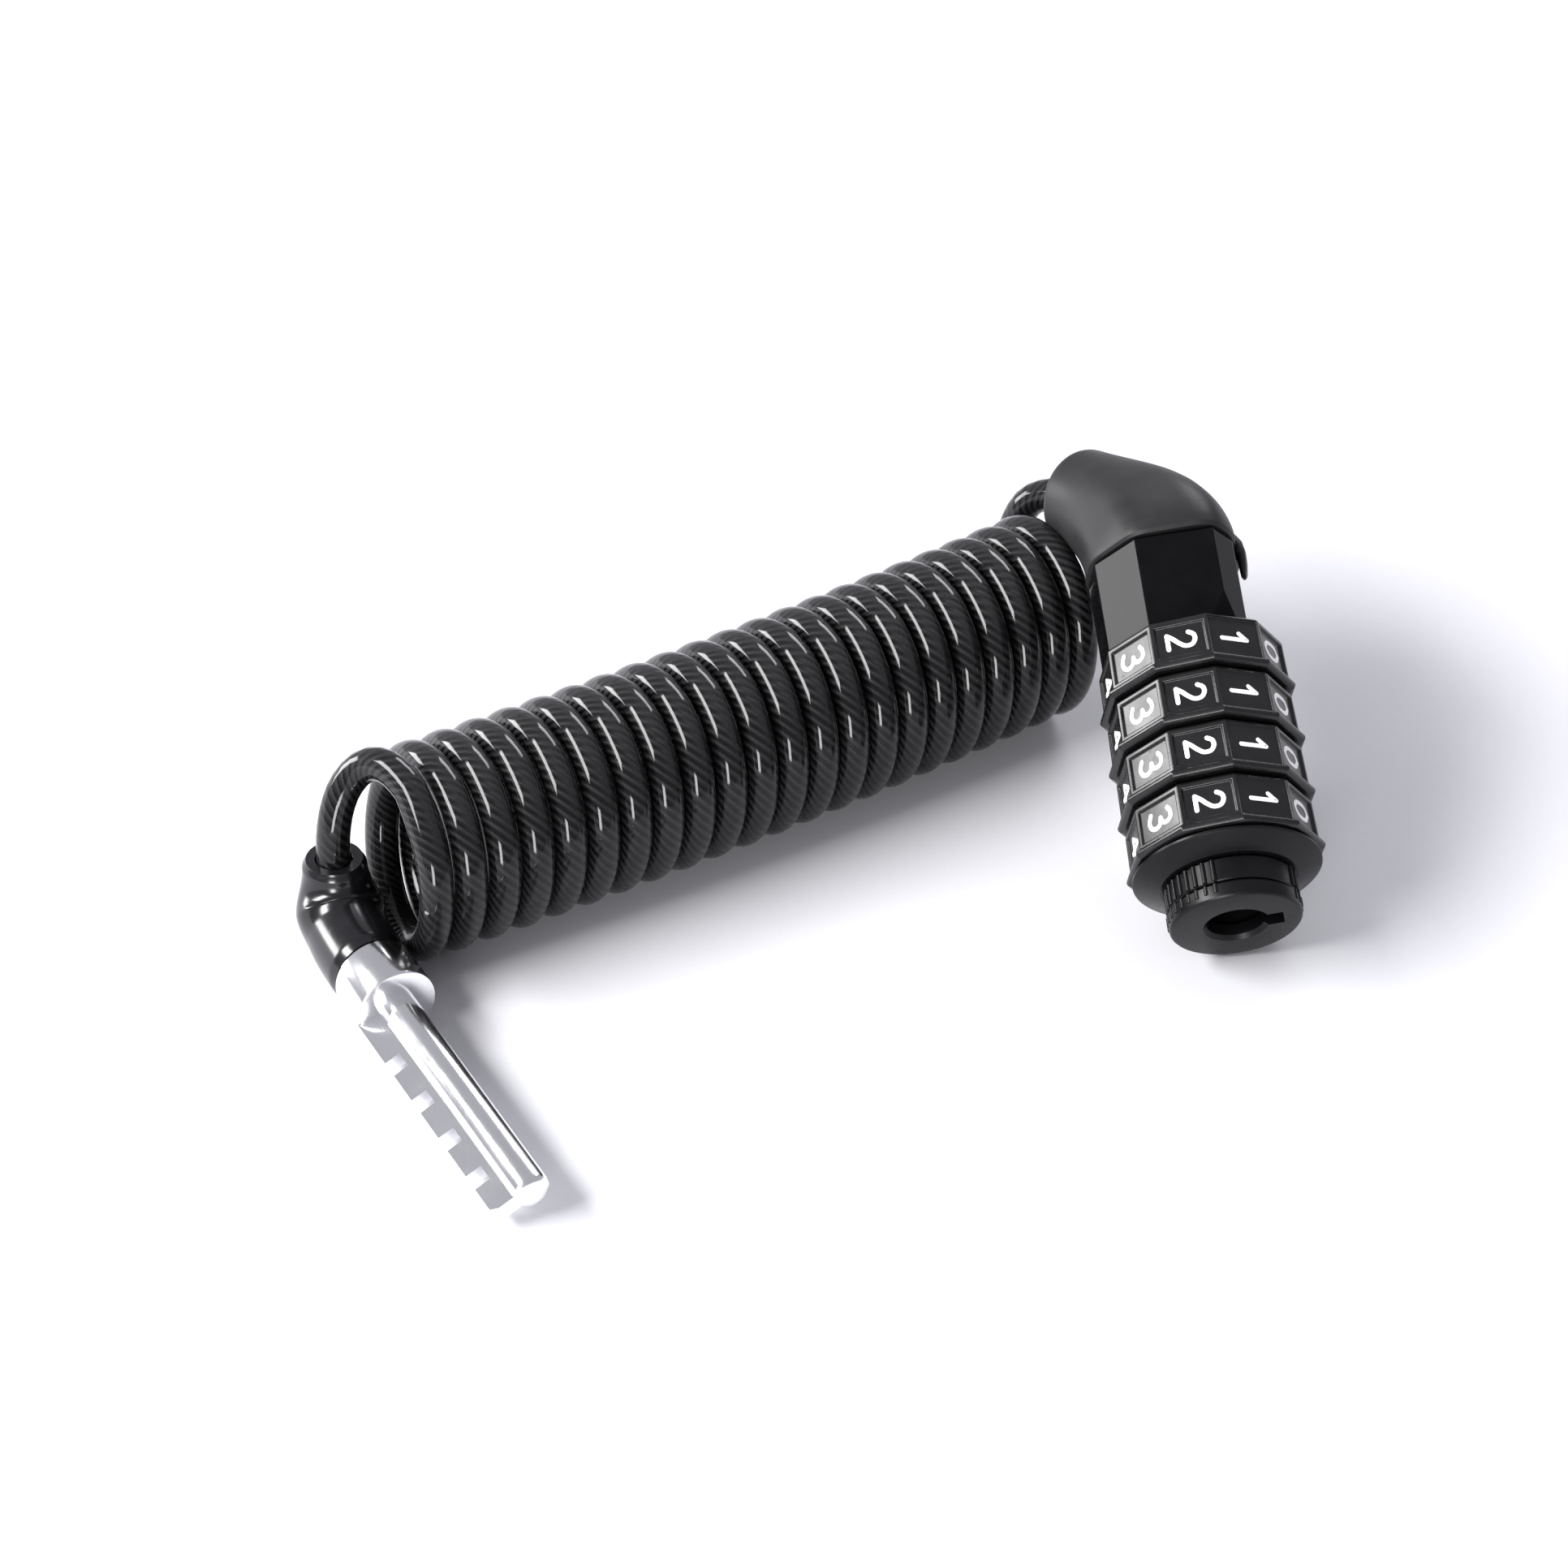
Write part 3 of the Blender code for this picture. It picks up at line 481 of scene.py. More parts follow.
def catmull(points: Sequence[Vector], steps: int) -> list[Vector]:
    """Smooth a short list of points.

    Args:
        points: Points that the curve passes through.
        steps: Steps between two points.

    Returns:
        The dense curve.
    """
    padded = [2 * points[0] - points[1], *points, 2 * points[-1] - points[-2]]
    dense = []
    for before, start, end, after in zip(padded, padded[1:], padded[2:], padded[3:]):
        for step in range(steps):
            t = step / steps
            dense.append(0.5 * (2 * start + (end - before) * t
                                + (2 * before - 5 * start + 4 * end - after) * t ** 2
                                + (3 * start - before - 3 * end + after) * t ** 3))
    dense.append(points[-1].copy())
    return dense


def even(points: Sequence[Vector], spacing: float) -> list[Vector]:
    """Space points evenly along a dense path.

    Args:
        points: Dense path.
        spacing: Wanted distance between points.

    Returns:
        Evenly spaced points, ends included.
    """
    lengths = [(after - before).length for before, after in zip(points, points[1:])]
    count = max(2, round(sum(lengths) / spacing))
    step = sum(lengths) / count
    result, travelled = [points[0].copy()], 0.0
    for before, after, length in zip(points, points[1:], lengths):
        while len(result) < count and travelled + length >= step * len(result):
            result.append(before.lerp(after, (step * len(result) - travelled) / length))
        travelled += length
    return [*result, points[-1].copy()]


def bezier(corners: Sequence[Vector], count: int) -> list[Vector]:
    """Sample a cubic Bezier curve."""
    p0, p1, p2, p3 = corners
    result = []
    for index in range(count):
        t = index / (count - 1)
        u = 1.0 - t
        result.append(p0 * u ** 3 + p1 * 3 * t * u * u + p2 * 3 * t * t * u + p3 * t ** 3)
    return result


def ease(value: float) -> float:
    """Ease a share between 0 and 1."""
    value = min(1.0, max(0.0, value))
    return value * value * (3.0 - 2.0 * value)


def read_table(table: Sequence[Pair], value: float) -> float:
    """Read an eased value from a short table of (share, value) pairs."""
    for (x0, y0), (x1, y1) in zip(table, table[1:]):
        if value <= x1:
            return y0 + (y1 - y0) * ease((value - x0) / (x1 - x0))
    return table[-1][1]


def sweep(points: Sequence[Vector], side: Vector, section: Callable[[float], Outline]) -> BMesh:
    """Sweep a changing section along a path.

    Args:
        points: The path.
        side: First side vector.
        section: Gives the outline for each share of the path.

    Returns:
        The swept solid.
    """
    frames = frames_along(points, side)
    last = len(frames) - 1
    rings = [[point + first * x + second * y for x, y in section(index / last)]
             for index, (point, first, second) in enumerate(frames)]
    return skin(rings)


@dataclass(frozen=True)
class Place:
    """A local frame in which a sub-assembly is modelled, in millimetres."""

    matrix: Matrix

    @classmethod
    def of_lock(cls) -> Place:
        """The barrel's frame: Z runs from the nose face to the elbow."""
        turn = Matrix.Rotation(LOCK_TILT - math.pi / 2, 4, "X") @ Matrix.Rotation(-LOCK_ROLL, 4, "Z")
        return cls(Matrix.Translation(NOSE_AT) @ turn)

    @classmethod
    def of_table(cls) -> Place:
        """The row's own frame."""
        return cls(Matrix.Identity(4))

    def write(self, name: str, bm: BMesh, finish: Material, angle: float = 30.0) -> Piece:
        """Write a mesh as a finished object at the origin.

        Args:
            name: Object name.
            bm: Mesh in local millimetres; it is freed.
            finish: Material.
            angle: Angle over which edges stay sharp.

        Returns:
            The object.
        """
        bmesh.ops.recalc_face_normals(bm, faces=bm.faces)
        bmesh.ops.transform(bm, matrix=Matrix.Scale(MM, 4) @ self.matrix, verts=bm.verts)
        mesh = bpy.data.meshes.new(name)
        bm.to_mesh(mesh)
        bm.free()
        mesh.materials.append(finish)
        mesh.shade_smooth()
        mesh.set_sharp_from_angle(angle=math.radians(angle))
        made = bpy.data.objects.new(name, mesh)
        bpy.context.scene.collection.objects.link(made)
        return made


def carve(piece: Piece, tools: Sequence[Piece], operation: str = "DIFFERENCE") -> Piece:
    """Combine a piece with other solids and keep the result as its own mesh.

    Args:
        piece: The piece to change.
        tools: Solids to cut out of it or to join to it; they are deleted.
        operation: The Boolean operation.

    Returns:
        The same piece.
    """
    for tool in tools:
        modifier = piece.modifiers.new("combine", "BOOLEAN")
        modifier.operation, modifier.solver, modifier.object = operation, "EXACT", tool
    bake(piece)
    for tool in tools:
        bpy.data.objects.remove(tool, do_unlink=True)
    piece.data.set_sharp_from_angle(angle=math.radians(30.0))
    return piece


def bake(piece: Piece) -> None:
    """Turn a piece's modifiers into its plain mesh."""
    graph = bpy.context.evaluated_depsgraph_get()
    mesh = bpy.data.meshes.new_from_object(piece.evaluated_get(graph), depsgraph=graph)
    piece.modifiers.clear()
    piece.data = mesh


def soften(piece: Piece, width_mm: float, angle: float = 30.0, segments: int = 3) -> None:
    """Round a piece's sharp edges with a Bevel modifier.

    Args:
        piece: The piece.
        width_mm: Bevel width.
        angle: Only edges sharper than this are rounded.
        segments: Bevel segments.
    """
    bevel = piece.modifiers.new("edges", "BEVEL")
    bevel.width = width_mm * MM
    bevel.segments = segments
    bevel.limit_method = "ANGLE"
    bevel.angle_limit = math.radians(angle)
    bevel.harden_normals = True


def settle(piece: Piece, body: str, slot: Slot, nodes: Sequence[str] = ()) -> Piece:
    """Let a finished piece ride on its body and stand for its CAD nodes.

    Args:
        piece: The finished piece.
        body: Body name.
        slot: Not used.
        nodes: CAD nodes that it replaces.

    Returns:
        The same piece.
    """
    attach(piece, body)
    if nodes:
        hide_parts(*nodes)
    LOG.info("%s rides on %s", piece.name, body)
    return piece


# ------------------------------------------------------------------ repeated ribs by Geometry Nodes


RIB_INPUTS = {"Geometry": "Geometry", "Count": "Int", "Radius": "Float", "Start Angle": "Float",
              "Step Angle": "Float", "Rib Size": "Vector", "Low End": "Float", "Finish": "Material"}
RIB_NODES = {
    "given": "NodeGroupInput", "result": "NodeGroupOutput", "index": "GeometryNodeInputIndex",
    "spot": "ShaderNodeCombineXYZ", "turn": "ShaderNodeCombineXYZ", "points": "GeometryNodePoints",
    "bar": "GeometryNodeMeshCylinder", "copies": "GeometryNodeInstanceOnPoints",
    "spun": "FunctionNodeEulerToRotation", "real": "GeometryNodeRealizeInstances",
    "dressed": "GeometryNodeSetMaterial",
}
RIB_MATHS = {"swing": "MULTIPLY", "angle": "ADD", "cosine": "COSINE", "sine": "SINE",
             "x": "MULTIPLY", "y": "MULTIPLY"}
RIB_LINKS = (
    ("index", 0, "swing", 0), ("given", "Step Angle", "swing", 1),
    ("swing", 0, "angle", 0), ("given", "Start Angle", "angle", 1),
    ("angle", 0, "cosine", 0), ("cosine", 0, "x", 0), ("given", "Radius", "x", 1), ("x", 0, "spot", 0),
    ("angle", 0, "sine", 0), ("sine", 0, "y", 0), ("given", "Radius", "y", 1), ("y", 0, "spot", 1),
    ("given", "Low End", "spot", 2), ("spot", 0, "points", "Position"), ("given", "Count", "points", "Count"),
    ("points", 0, "copies", "Points"), ("bar", "Mesh", "copies", "Instance"),
    ("angle", 0, "turn", 2), ("turn", 0, "spun", 0), ("spun", 0, "copies", "Rotation"),
    ("given", "Rib Size", "copies", "Scale"), ("copies", 0, "real", 0),
    ("real", 0, "dressed", "Geometry"), ("given", "Finish", "dressed", "Material"),
    ("dressed", 0, "result", 0),
)


@dataclass(frozen=True)
class RibFan:
    """Straight ribs that stand side by side on the two sides of a round surface."""

    radius_mm: float
    length_mm: float
    width_mm: float
    height_mm: float
    low_mm: float
    count: int = 13
    step_deg: float = 9.0
    starts: tuple[tuple[str, float], ...] = (("left", 150.0), ("right", -20.0))

    def tree(self) -> bpy.types.NodeTree:
        """Build the node tree: a fan of points, a rounded bar on each, realized.

        Returns:
            The node group.
        """
        group = bpy.data.node_groups.new("rib_fan", "GeometryNodeTree")
        for name, kind in RIB_INPUTS.items():
            group.interface.new_socket(name, in_out="INPUT", socket_type=f"NodeSocket{kind}")
        group.interface.new_socket("Geometry", in_out="OUTPUT", socket_type="NodeSocketGeometry")
        nodes = {name: group.nodes.new(kind) for name, kind in RIB_NODES.items()}
        for name, operation in RIB_MATHS.items():
            nodes[name] = group.nodes.new("ShaderNodeMath")
            nodes[name].operation = operation
        for name, value in (("Vertices", 12), ("Radius", 0.5), ("Depth", 1.0)):
            nodes["bar"].inputs[name].default_value = value
        for source, output, target, entry in RIB_LINKS:
            group.links.new(nodes[source].outputs[output], nodes[target].inputs[entry])
        return group

    def grow(self, name: str, start_deg: float, place: Place, finish: Material) -> Piece:
        """Grow the ribs of one side as a plain mesh.

        Args:
            name: Object name.
            start_deg: Angle of the first rib.
            place: The local frame.
            finish: Material of the ribs.

        Returns:
            The ribs' object.
        """
        seed = bpy.data.objects.new(name, bpy.data.meshes.new(name))
        bpy.context.scene.collection.objects.link(seed)
        modifier = seed.modifiers.new("ribs", "NODES")
        modifier.node_group = self.tree()
        values = {"Count": self.count, "Radius": self.radius_mm, "Start Angle": math.radians(start_deg),
                  "Step Angle": math.radians(self.step_deg), "Low End": self.low_mm + self.length_mm / 2,
                  "Rib Size": (self.height_mm * 2, self.width_mm, self.length_mm), "Finish": finish}
        for item in modifier.node_group.interface.items_tree:
            if item.in_out == "INPUT" and item.name in values:
                modifier[item.identifier] = values[item.name]
        bake(seed)
        seed.data.transform(Matrix.Scale(MM, 4) @ place.matrix)
        seed.data.shade_smooth()
        seed.data.set_sharp_from_angle(angle=math.radians(40.0))
        return seed

    def dress(self, prefix: str, place: Place, finish: Material, body: Body) -> None:
        """Grow the ribs of both sides and let them ride.

        Args:
            prefix: Start of the pieces' names.
            place: The local frame.
            finish: Material of the ribs.
            body: Body that they ride on.
        """
        for side, start_deg in self.starts:
            settle(self.grow(f"{prefix}_{side}", start_deg, place, finish), body.value, Slot.SATIN)


# ------------------------------------------------------------------ nose and setting ring


@dataclass
class NoseCap:
    """Round nose with the keyhole, its side slot and a ribbed back edge."""

    place: Place
    finishes: FinishSet
    radius: float = 8.2
    depth: float = 2.1
    hole: float = 3.6
    lead: float = 0.5
    slot_width: float = 2.8
    slot_reach: float = 5.8
    tube: Triple = (4.3, 5.4, 5.4)

    def build(self) -> Piece:
        """Build the cap and dress it.

        Returns:
            The cap.
        """
        inner, outer, end = self.tube
        profile = [
            (self.hole + self.lead, 0.0), (self.radius - 0.55, 0.0), (self.radius - 0.25, 0.08),
            (self.radius - 0.06, 0.28), (self.radius, 0.6), (self.radius, self.depth - 0.25),
            (self.radius - 0.2, self.depth), (outer, self.depth), (outer, end), (inner, end),
            (inner, self.depth), (self.hole, self.depth - 0.2), (self.hole, self.lead),
        ]
        cap = self.place.write("nose_cap_shell", lathe(profile, 120), self.finishes.satin)
        slot = block((0.0, -self.slot_width / 2, -1.0), (self.slot_reach, self.slot_width / 2, end + 1.0))
        cutter = self.place.write("slot_tool", slot, self.finishes.satin)
        soften(carve(cap, [cutter]), 0.12, 40.0, 2)
        return cap

    def dress(self) -> None:
        """Build the cap and its ribs and let them ride."""
        settle(self.build(), Body.LOCK.value, Slot.SATIN, ["nose_cap"])
        ribs = RibFan(self.radius - 0.02, length_mm=1.15, width_mm=0.55, height_mm=0.17, low_mm=0.85)
        ribs.dress("nose_ribs", self.place, self.finishes.satin, Body.LOCK)


@dataclass
class SettingRing:
    """Ring behind the nose that is turned a quarter turn to set a new code."""

    place: Place
    finishes: FinishSet
    span: Pair = (2.4, 5.4)
    bore: float = 6.9
    radius: float = 7.95

    def dress(self) -> None:
        """Build the ring and its ribs and let them ride."""
        low, high = self.span
        profile = [(self.bore, low), (self.radius - 0.15, low), (self.radius, low + 0.15),
                   (self.radius, high - 0.15), (self.radius - 0.15, high), (self.bore, high)]
        ring = self.place.write("setting_ring_shell", lathe(profile, 120), self.finishes.satin)
        settle(ring, Body.SETTING_RING.value, Slot.SATIN, ["setting_ring"])
        ribs = RibFan(self.radius + 0.02, high - low - 0.3, width_mm=0.62, height_mm=0.26, low_mm=low + 0.15)
        ribs.dress("setting_ribs", self.place, self.finishes.satin, Body.SETTING_RING)


@dataclass
class EndFlange:
    """Cone-shaped flange between the setting ring and the first dial."""

    place: Place
    finishes: FinishSet
    span: Pair = (5.7, 7.5)
    radii: Pair = (8.7, 11.7)
    bore: float = 3.9
    slot_width: float = 2.8
    slot_reach: float = 5.4
    pin_hole: float = 0.72
    pin_circle: float = 6.02

    def dress(self) -> None:
        """Build the flange and let it ride."""
        low, high = self.span
        small, large = self.radii
        profile = [(self.bore, low), (small - 0.2, low), (small, low + 0.12), (large - 0.25, high - 0.62),
                   (large, high - 0.4), (large, high - 0.12), (large - 0.15, high), (self.bore, high)]
        flange = self.place.write("end_flange_shell", lathe(profile, 120), self.finishes.satin)
        half = self.slot_width / 2
        slot = block((0.0, -half, low - 1.0), (self.slot_reach, half, high + 1.0))
        tools = [self.place.write("flange_slot_tool", slot, self.finishes.satin)]
        for index, angle in enumerate(PIN_ANGLES):
            hole = rod(self.pin_hole, low - 1.0, high + 1.0, polar(self.pin_circle, angle), 24)
            tools.append(self.place.write(f"flange_pin_tool_{index}", hole, self.finishes.satin))
        settle(carve(flange, tools), Body.LOCK.value, Slot.SATIN, ["end_flange"])


# ------------------------------------------------------------------ dials


class Stroke:
    """Pen strokes of the ten digits, in a box one wide and one high."""

    STEPS = 6
    ROUND: dict[int, list[list[Pair]]] = {
        0: [[(0.5, 1.0), (0.14, 0.82), (0.06, 0.5), (0.14, 0.18), (0.5, 0.0), (0.86, 0.18), (0.94, 0.5),
             (0.86, 0.82), (0.5, 1.0)]],
        2: [[(0.08, 0.8), (0.26, 0.97), (0.56, 1.0), (0.84, 0.87), (0.86, 0.62), (0.62, 0.4), (0.34, 0.22),
             (0.1, 0.02)]],
        3: [[(0.1, 0.9), (0.36, 1.0), (0.68, 0.98), (0.84, 0.8), (0.76, 0.6), (0.46, 0.53)],
            [(0.46, 0.53), (0.8, 0.46), (0.93, 0.26), (0.8, 0.06), (0.46, -0.01), (0.08, 0.1)]],
        5: [[(0.16, 0.56), (0.46, 0.62), (0.78, 0.54), (0.92, 0.32), (0.8, 0.08), (0.46, -0.01),
             (0.08, 0.09)]],
        6: [[(0.8, 0.94), (0.48, 0.94), (0.18, 0.66), (0.07, 0.34), (0.22, 0.06), (0.52, -0.01), (0.84, 0.12),
             (0.9, 0.36), (0.68, 0.55), (0.36, 0.53), (0.12, 0.32)]],
        8: [[(0.5, 0.53), (0.2, 0.66), (0.2, 0.9), (0.5, 1.0), (0.8, 0.9), (0.8, 0.66), (0.5, 0.53),
             (0.14, 0.38), (0.1, 0.12), (0.5, -0.01), (0.9, 0.12), (0.86, 0.38), (0.5, 0.53)]],
    }
    STRAIGHT: dict[int, list[list[Pair]]] = {
        1: [[(0.22, 0.72), (0.58, 1.0)], [(0.58, 1.0), (0.58, 0.0)]],
        2: [[(0.1, 0.02), (0.92, 0.02)]],
        4: [[(0.7, 0.0), (0.7, 1.0)], [(0.7, 1.0), (0.06, 0.3)], [(0.06, 0.3), (0.96, 0.3)]],
        5: [[(0.84, 1.0), (0.24, 1.0)], [(0.24, 1.0), (0.16, 0.56)]],
        7: [[(0.08, 1.0), (0.92, 1.0)], [(0.92, 1.0), (0.4, 0.0)]],
    }

    @classmethod
    def of(cls, digit: int) -> list[list[Vector]]:
        """List a digit's strokes.

        Args:
            digit: 0 to 9.

        Returns:
            Strokes as lists of points; a nine is a six turned half round.
        """
        if digit == 9:
            return [[Vector((1.0 - p.x, 1.0 - p.y, 0.0)) for p in stroke] for stroke in cls.of(6)]
        strokes = [catmull(flat_ring(points, 0.0), cls.STEPS) for points in cls.ROUND.get(digit, [])]
        for points in cls.STRAIGHT.get(digit, []):
            start, end = flat_ring(points, 0.0)
            strokes.append([start.lerp(end, step / cls.STEPS) for step in range(cls.STEPS + 1)])
        return strokes


@dataclass
class DigitPaint:
    """One raised white digit made of rounded strokes."""

    height: float = 3.45
    width: float = 2.35
    pen: float = 0.6
    proud: float = 0.08
    caps: tuple[Pair, ...] = ((0.98, 0.2), (0.85, 0.53), (0.55, 0.84), (0.2, 0.98))
    bead: tuple[Pair, ...] = (
        (-1, 0), (-0.92, 0.75), (-0.6, 1), (0.6, 1), (0.92, 0.75), (1, 0), (0.6, -1), (-0.6, -1),
    )

    def stroke(self, points: Sequence[Vector]) -> BMesh:
        """Lay one pen stroke as a flat rounded bead.

        Args:
            points: The pen's path in the digit's box.

        Returns:
            The bead, lying in the XY plane.
        """
        path = [Vector(((p.x - 0.5) * self.width, (p.y - 0.5) * self.height, 0.0)) for p in points]
        start, end = (path[0] - path[1]).normalized(), (path[-1] - path[-2]).normalized()
        half = self.pen / 2
        first, last = path[0].copy(), path[-1].copy()
        sizes = [size for _, size in self.caps]
        scales = sizes + [1.0] * len(path) + sizes[::-1]
        path = [first + start * half * share for share, _ in self.caps] + path + \
               [last + end * half * share for share, _ in reversed(self.caps)]
        rings = []
        for (point, side, _), scale in zip(frames_along(path, Vector((0.3, 1.0, 0.0))), scales):
            rise = self.proud * (0.4 + 0.6 * scale)
            rings.append([point + side * (x * half * scale) + Vector((0.0, 0.0, z * rise))
                          for x, z in self.bead])
        return skin(rings)

    def build(self, digit: int) -> BMesh:
        """Gather a digit's strokes in one mesh that lies in the XY plane."""
        return merge(*[self.stroke(points) for points in Stroke.of(digit)])


@dataclass
class Dial:
    """Ten-sided dial with a lip, recessed panels and painted digits."""

    place: Place
    finishes: FinishSet
    number: int
    length: float = DIAL_PITCH - GAP
    corner: float = 11.75
    bore: float = 8.7
    panel_inset: float = 0.5
    panel_wall: float = 0.12
    panel_depth: float = 0.32
    band: Pair = (0.375, 0.3)
    same_flat: float = 0.955
    columns: int = 4
    lip: tuple[Pair, ...] = ((11.75, 0.0), (12.2, 0.22), (12.38, 0.5), (12.36, 0.85), (12.1, 1.1))

    @property
    def middle(self) -> float:
        """Height of the dial's middle on the barrel."""
        return FIRST_DIAL_AT + self.length / 2 + DIAL_PITCH * (DIAL_COUNT - self.number)

    def outline(self, corner: float) -> Outline:
        """Sample a decagon with extra points on its flats.

        Args:
            corner: Corner radius.

        Returns:
            Points round the decagon.
        """
        corners = [polar(corner, POINTER_ANGLE + DIGIT_STEP * (index + 0.5)) for index in range(DIGITS)]
        points = []
        for (x0, y0), (x1, y1) in zip(corners, corners[1:] + corners[:1]):
            for column in range(self.columns):
                t = column / self.columns
                points.append((x0 + (x1 - x0) * t, y0 + (y1 - y0) * t))
        return points

    def body(self) -> BMesh:
        """Build the dial's body with its recessed panels.

        Returns:
            The body, centred on its own middle.
        """
        half = self.length / 2
        outer = [(radius, -half + rise) for radius, rise in self.lip]
        outer += [(self.corner, -half + 1.25), (self.corner - 0.12, half - 0.5), (11.4, half - 0.2),
                  (11.1, half)]
        rings = [flat_ring(self.outline(radius), height) for radius, height in outer]
        count = len(rings[0])
        start = POINTER_ANGLE + 180.0 / DIGITS
        rings += [flat_ring(circle(self.bore, count, start), height) for height in (half, -half)]
        bm = skin(rings, closed=True)
        bm.faces.ensure_lookup_table()
        height, reach = self.band
        middles = {face: face.calc_center_median() for face in bm.faces}
        band = [face for face, middle in middles.items()
                if abs(middle.z - height) < reach and middle.xy.length > self.bore + 1.0]
        for index in range(DIGITS):
            normal = Vector((*polar(1.0, POINTER_ANGLE + DIGIT_STEP * index), 0.0))
            panel = [face for face in band if middles[face].normalized().dot(normal) > self.same_flat]
            for thickness, depth in ((self.panel_inset, 0.0), (self.panel_wall, -self.panel_depth)):
                bmesh.ops.inset_region(bm, faces=panel, thickness=thickness, depth=depth,
                                       use_even_offset=True)
        return bm

    def digits(self) -> BMesh:
        """Place the ten digits in their panels.

        Returns:
            All digits in one mesh.
        """
        flat = (self.corner - 0.06) * math.cos(math.pi / DIGITS) - self.panel_depth
        placed = []
        for face in range(DIGITS):
            bm = DigitPaint().build((face + 1) % DIGITS)
            angle = math.radians(POINTER_ANGLE - DIGIT_STEP * face)
            outward = Vector((math.cos(angle), math.sin(angle), 0.0))
            upright = Vector((-math.sin(angle), math.cos(angle), 0.0))
            turn = Matrix((-UP, upright, outward)).transposed().to_4x4()
            spot = outward * flat + Vector((0.0, 0.0, self.middle + 0.35))
            bmesh.ops.transform(bm, matrix=Matrix.Translation(spot) @ turn, verts=bm.verts)
            placed.append(bm)
        return merge(*placed)

    def dress(self) -> None:
        """Build the dial and its digits and let them ride."""
        body = self.body()
        bmesh.ops.translate(body, vec=(0.0, 0.0, self.middle), verts=body.verts)
        name = f"dial_{self.number}"
        shell = self.place.write(f"{name}_shell", body, self.finishes.dial, 14.0)
        soften(shell, 0.13, 14.0)
        settle(shell, name, Slot.SATIN, [name])
        paint = self.place.write(f"{name}_digits", self.digits(), self.finishes.paint, 60.0)
        settle(paint, name, Slot.SATIN)


# ------------------------------------------------------------------ neck and elbow


@dataclass
class NeckHousing:
    """Faceted polished neck with the pointer that the code is read against."""

    place: Place
    finishes: FinishSet
    span: Pair = (37.8, 50.6)
    centre_x: float = -1.6
    stub: Pair = (6.2, 56.0)
    stub_groove: Triple = (5.2, 53.1, 54.5)
    chamber: Pair = (6.7, 8.2)
    bore: Pair = (3.9, 47.3)
    pointer_height: float = 3.7
    pointer_depth: float = 1.0
    outline: tuple[Pair, ...] = (
        (-11.0, 0.6), (-9.7, -4.7), (-4.1, -9.3), (5.6, -8.7), (7.8, -4.6),
        (7.8, 4.6), (4.6, 8.6), (-5.0, 9.3), (-9.7, 5.6),
    )

    def reach(self, angle: float) -> float:
        """Measure the outline's radius about the neck's middle.

        Args:
            angle: Direction in radians.

        Returns:
            Distance to the outline.
        """
        ray = Vector((math.cos(angle), math.sin(angle)))
        corners = [Vector((x - self.centre_x, y)) for x, y in self.outline]
        best, slack = 0.0, 1e-6
        for start, end in zip(corners, corners[1:] + corners[:1]):
            edge = end - start
            crossing = ray.x * edge.y - ray.y * edge.x
            if abs(crossing) < 1e-9:
                continue
            distance = (start.x * edge.y - start.y * edge.x) / crossing
            share = (start.x * ray.y - start.y * ray.x) / crossing
            if distance > 0.0 and -slack <= share <= 1.0 + slack:
                best = max(best, distance)
        return best

    def pointer_tool(self) -> Piece:
        """Make the wedge that slices the pointer's facet."""
        corner = Vector((*self.outline[3], self.span[0]))
        outward = Vector((*polar(1.0, POINTER_ANGLE), 0.0))
        lean = math.atan2(self.pointer_depth, self.pointer_height)
        bm = block((0.0, -4.0, -2.0), (4.0, 4.0, 9.0))
        turn = Matrix.Rotation(math.radians(POINTER_ANGLE), 4, "Z") @ Matrix.Rotation(lean, 4, "Y")
        spot = Matrix.Translation(corner - outward * self.pointer_depth)
        bmesh.ops.transform(bm, matrix=spot @ turn, verts=bm.verts)
        return self.place.write("pointer_tool", bm, self.finishes.gloss)

    def dress(self) -> None:
        """Build the neck and let it ride."""
        low, high = self.span
        radius, end = self.stub
        write, gloss = self.place.write, self.finishes.gloss
        shell = skin([flat_ring(self.outline, low), flat_ring(self.outline, high)])
        neck = write("neck_shell", shell, gloss)
        chamber_radius, chamber_depth = self.chamber
        chamber = write("chamber_tool", rod(chamber_radius, low - 1.0, low + chamber_depth), gloss)
        bore_radius, bore_end = self.bore
        bore = write("bore_tool", rod(bore_radius, low, bore_end), gloss)
        soften(carve(neck, [chamber, bore, self.pointer_tool()]), 0.28, 20.0, 4)
        settle(neck, Body.LOCK.value, Slot.GLOSS, ["neck_housing"])
        root, groove_low, groove_high = self.stub_groove
        profile = [(radius - 0.3, high - 0.05), (radius, high + 0.2), (radius, groove_low),
                   (root, groove_low), (root, groove_high), (radius, groove_high), (radius, end - 0.4),
                   (radius - 0.4, end)]
        stub = lathe_solid(profile)
        bmesh.ops.translate(stub, vec=(self.centre_x, 0.0, 0.0), verts=stub.verts)
        settle(write("neck_stub", stub, gloss), Body.LOCK.value, Slot.GLOSS)


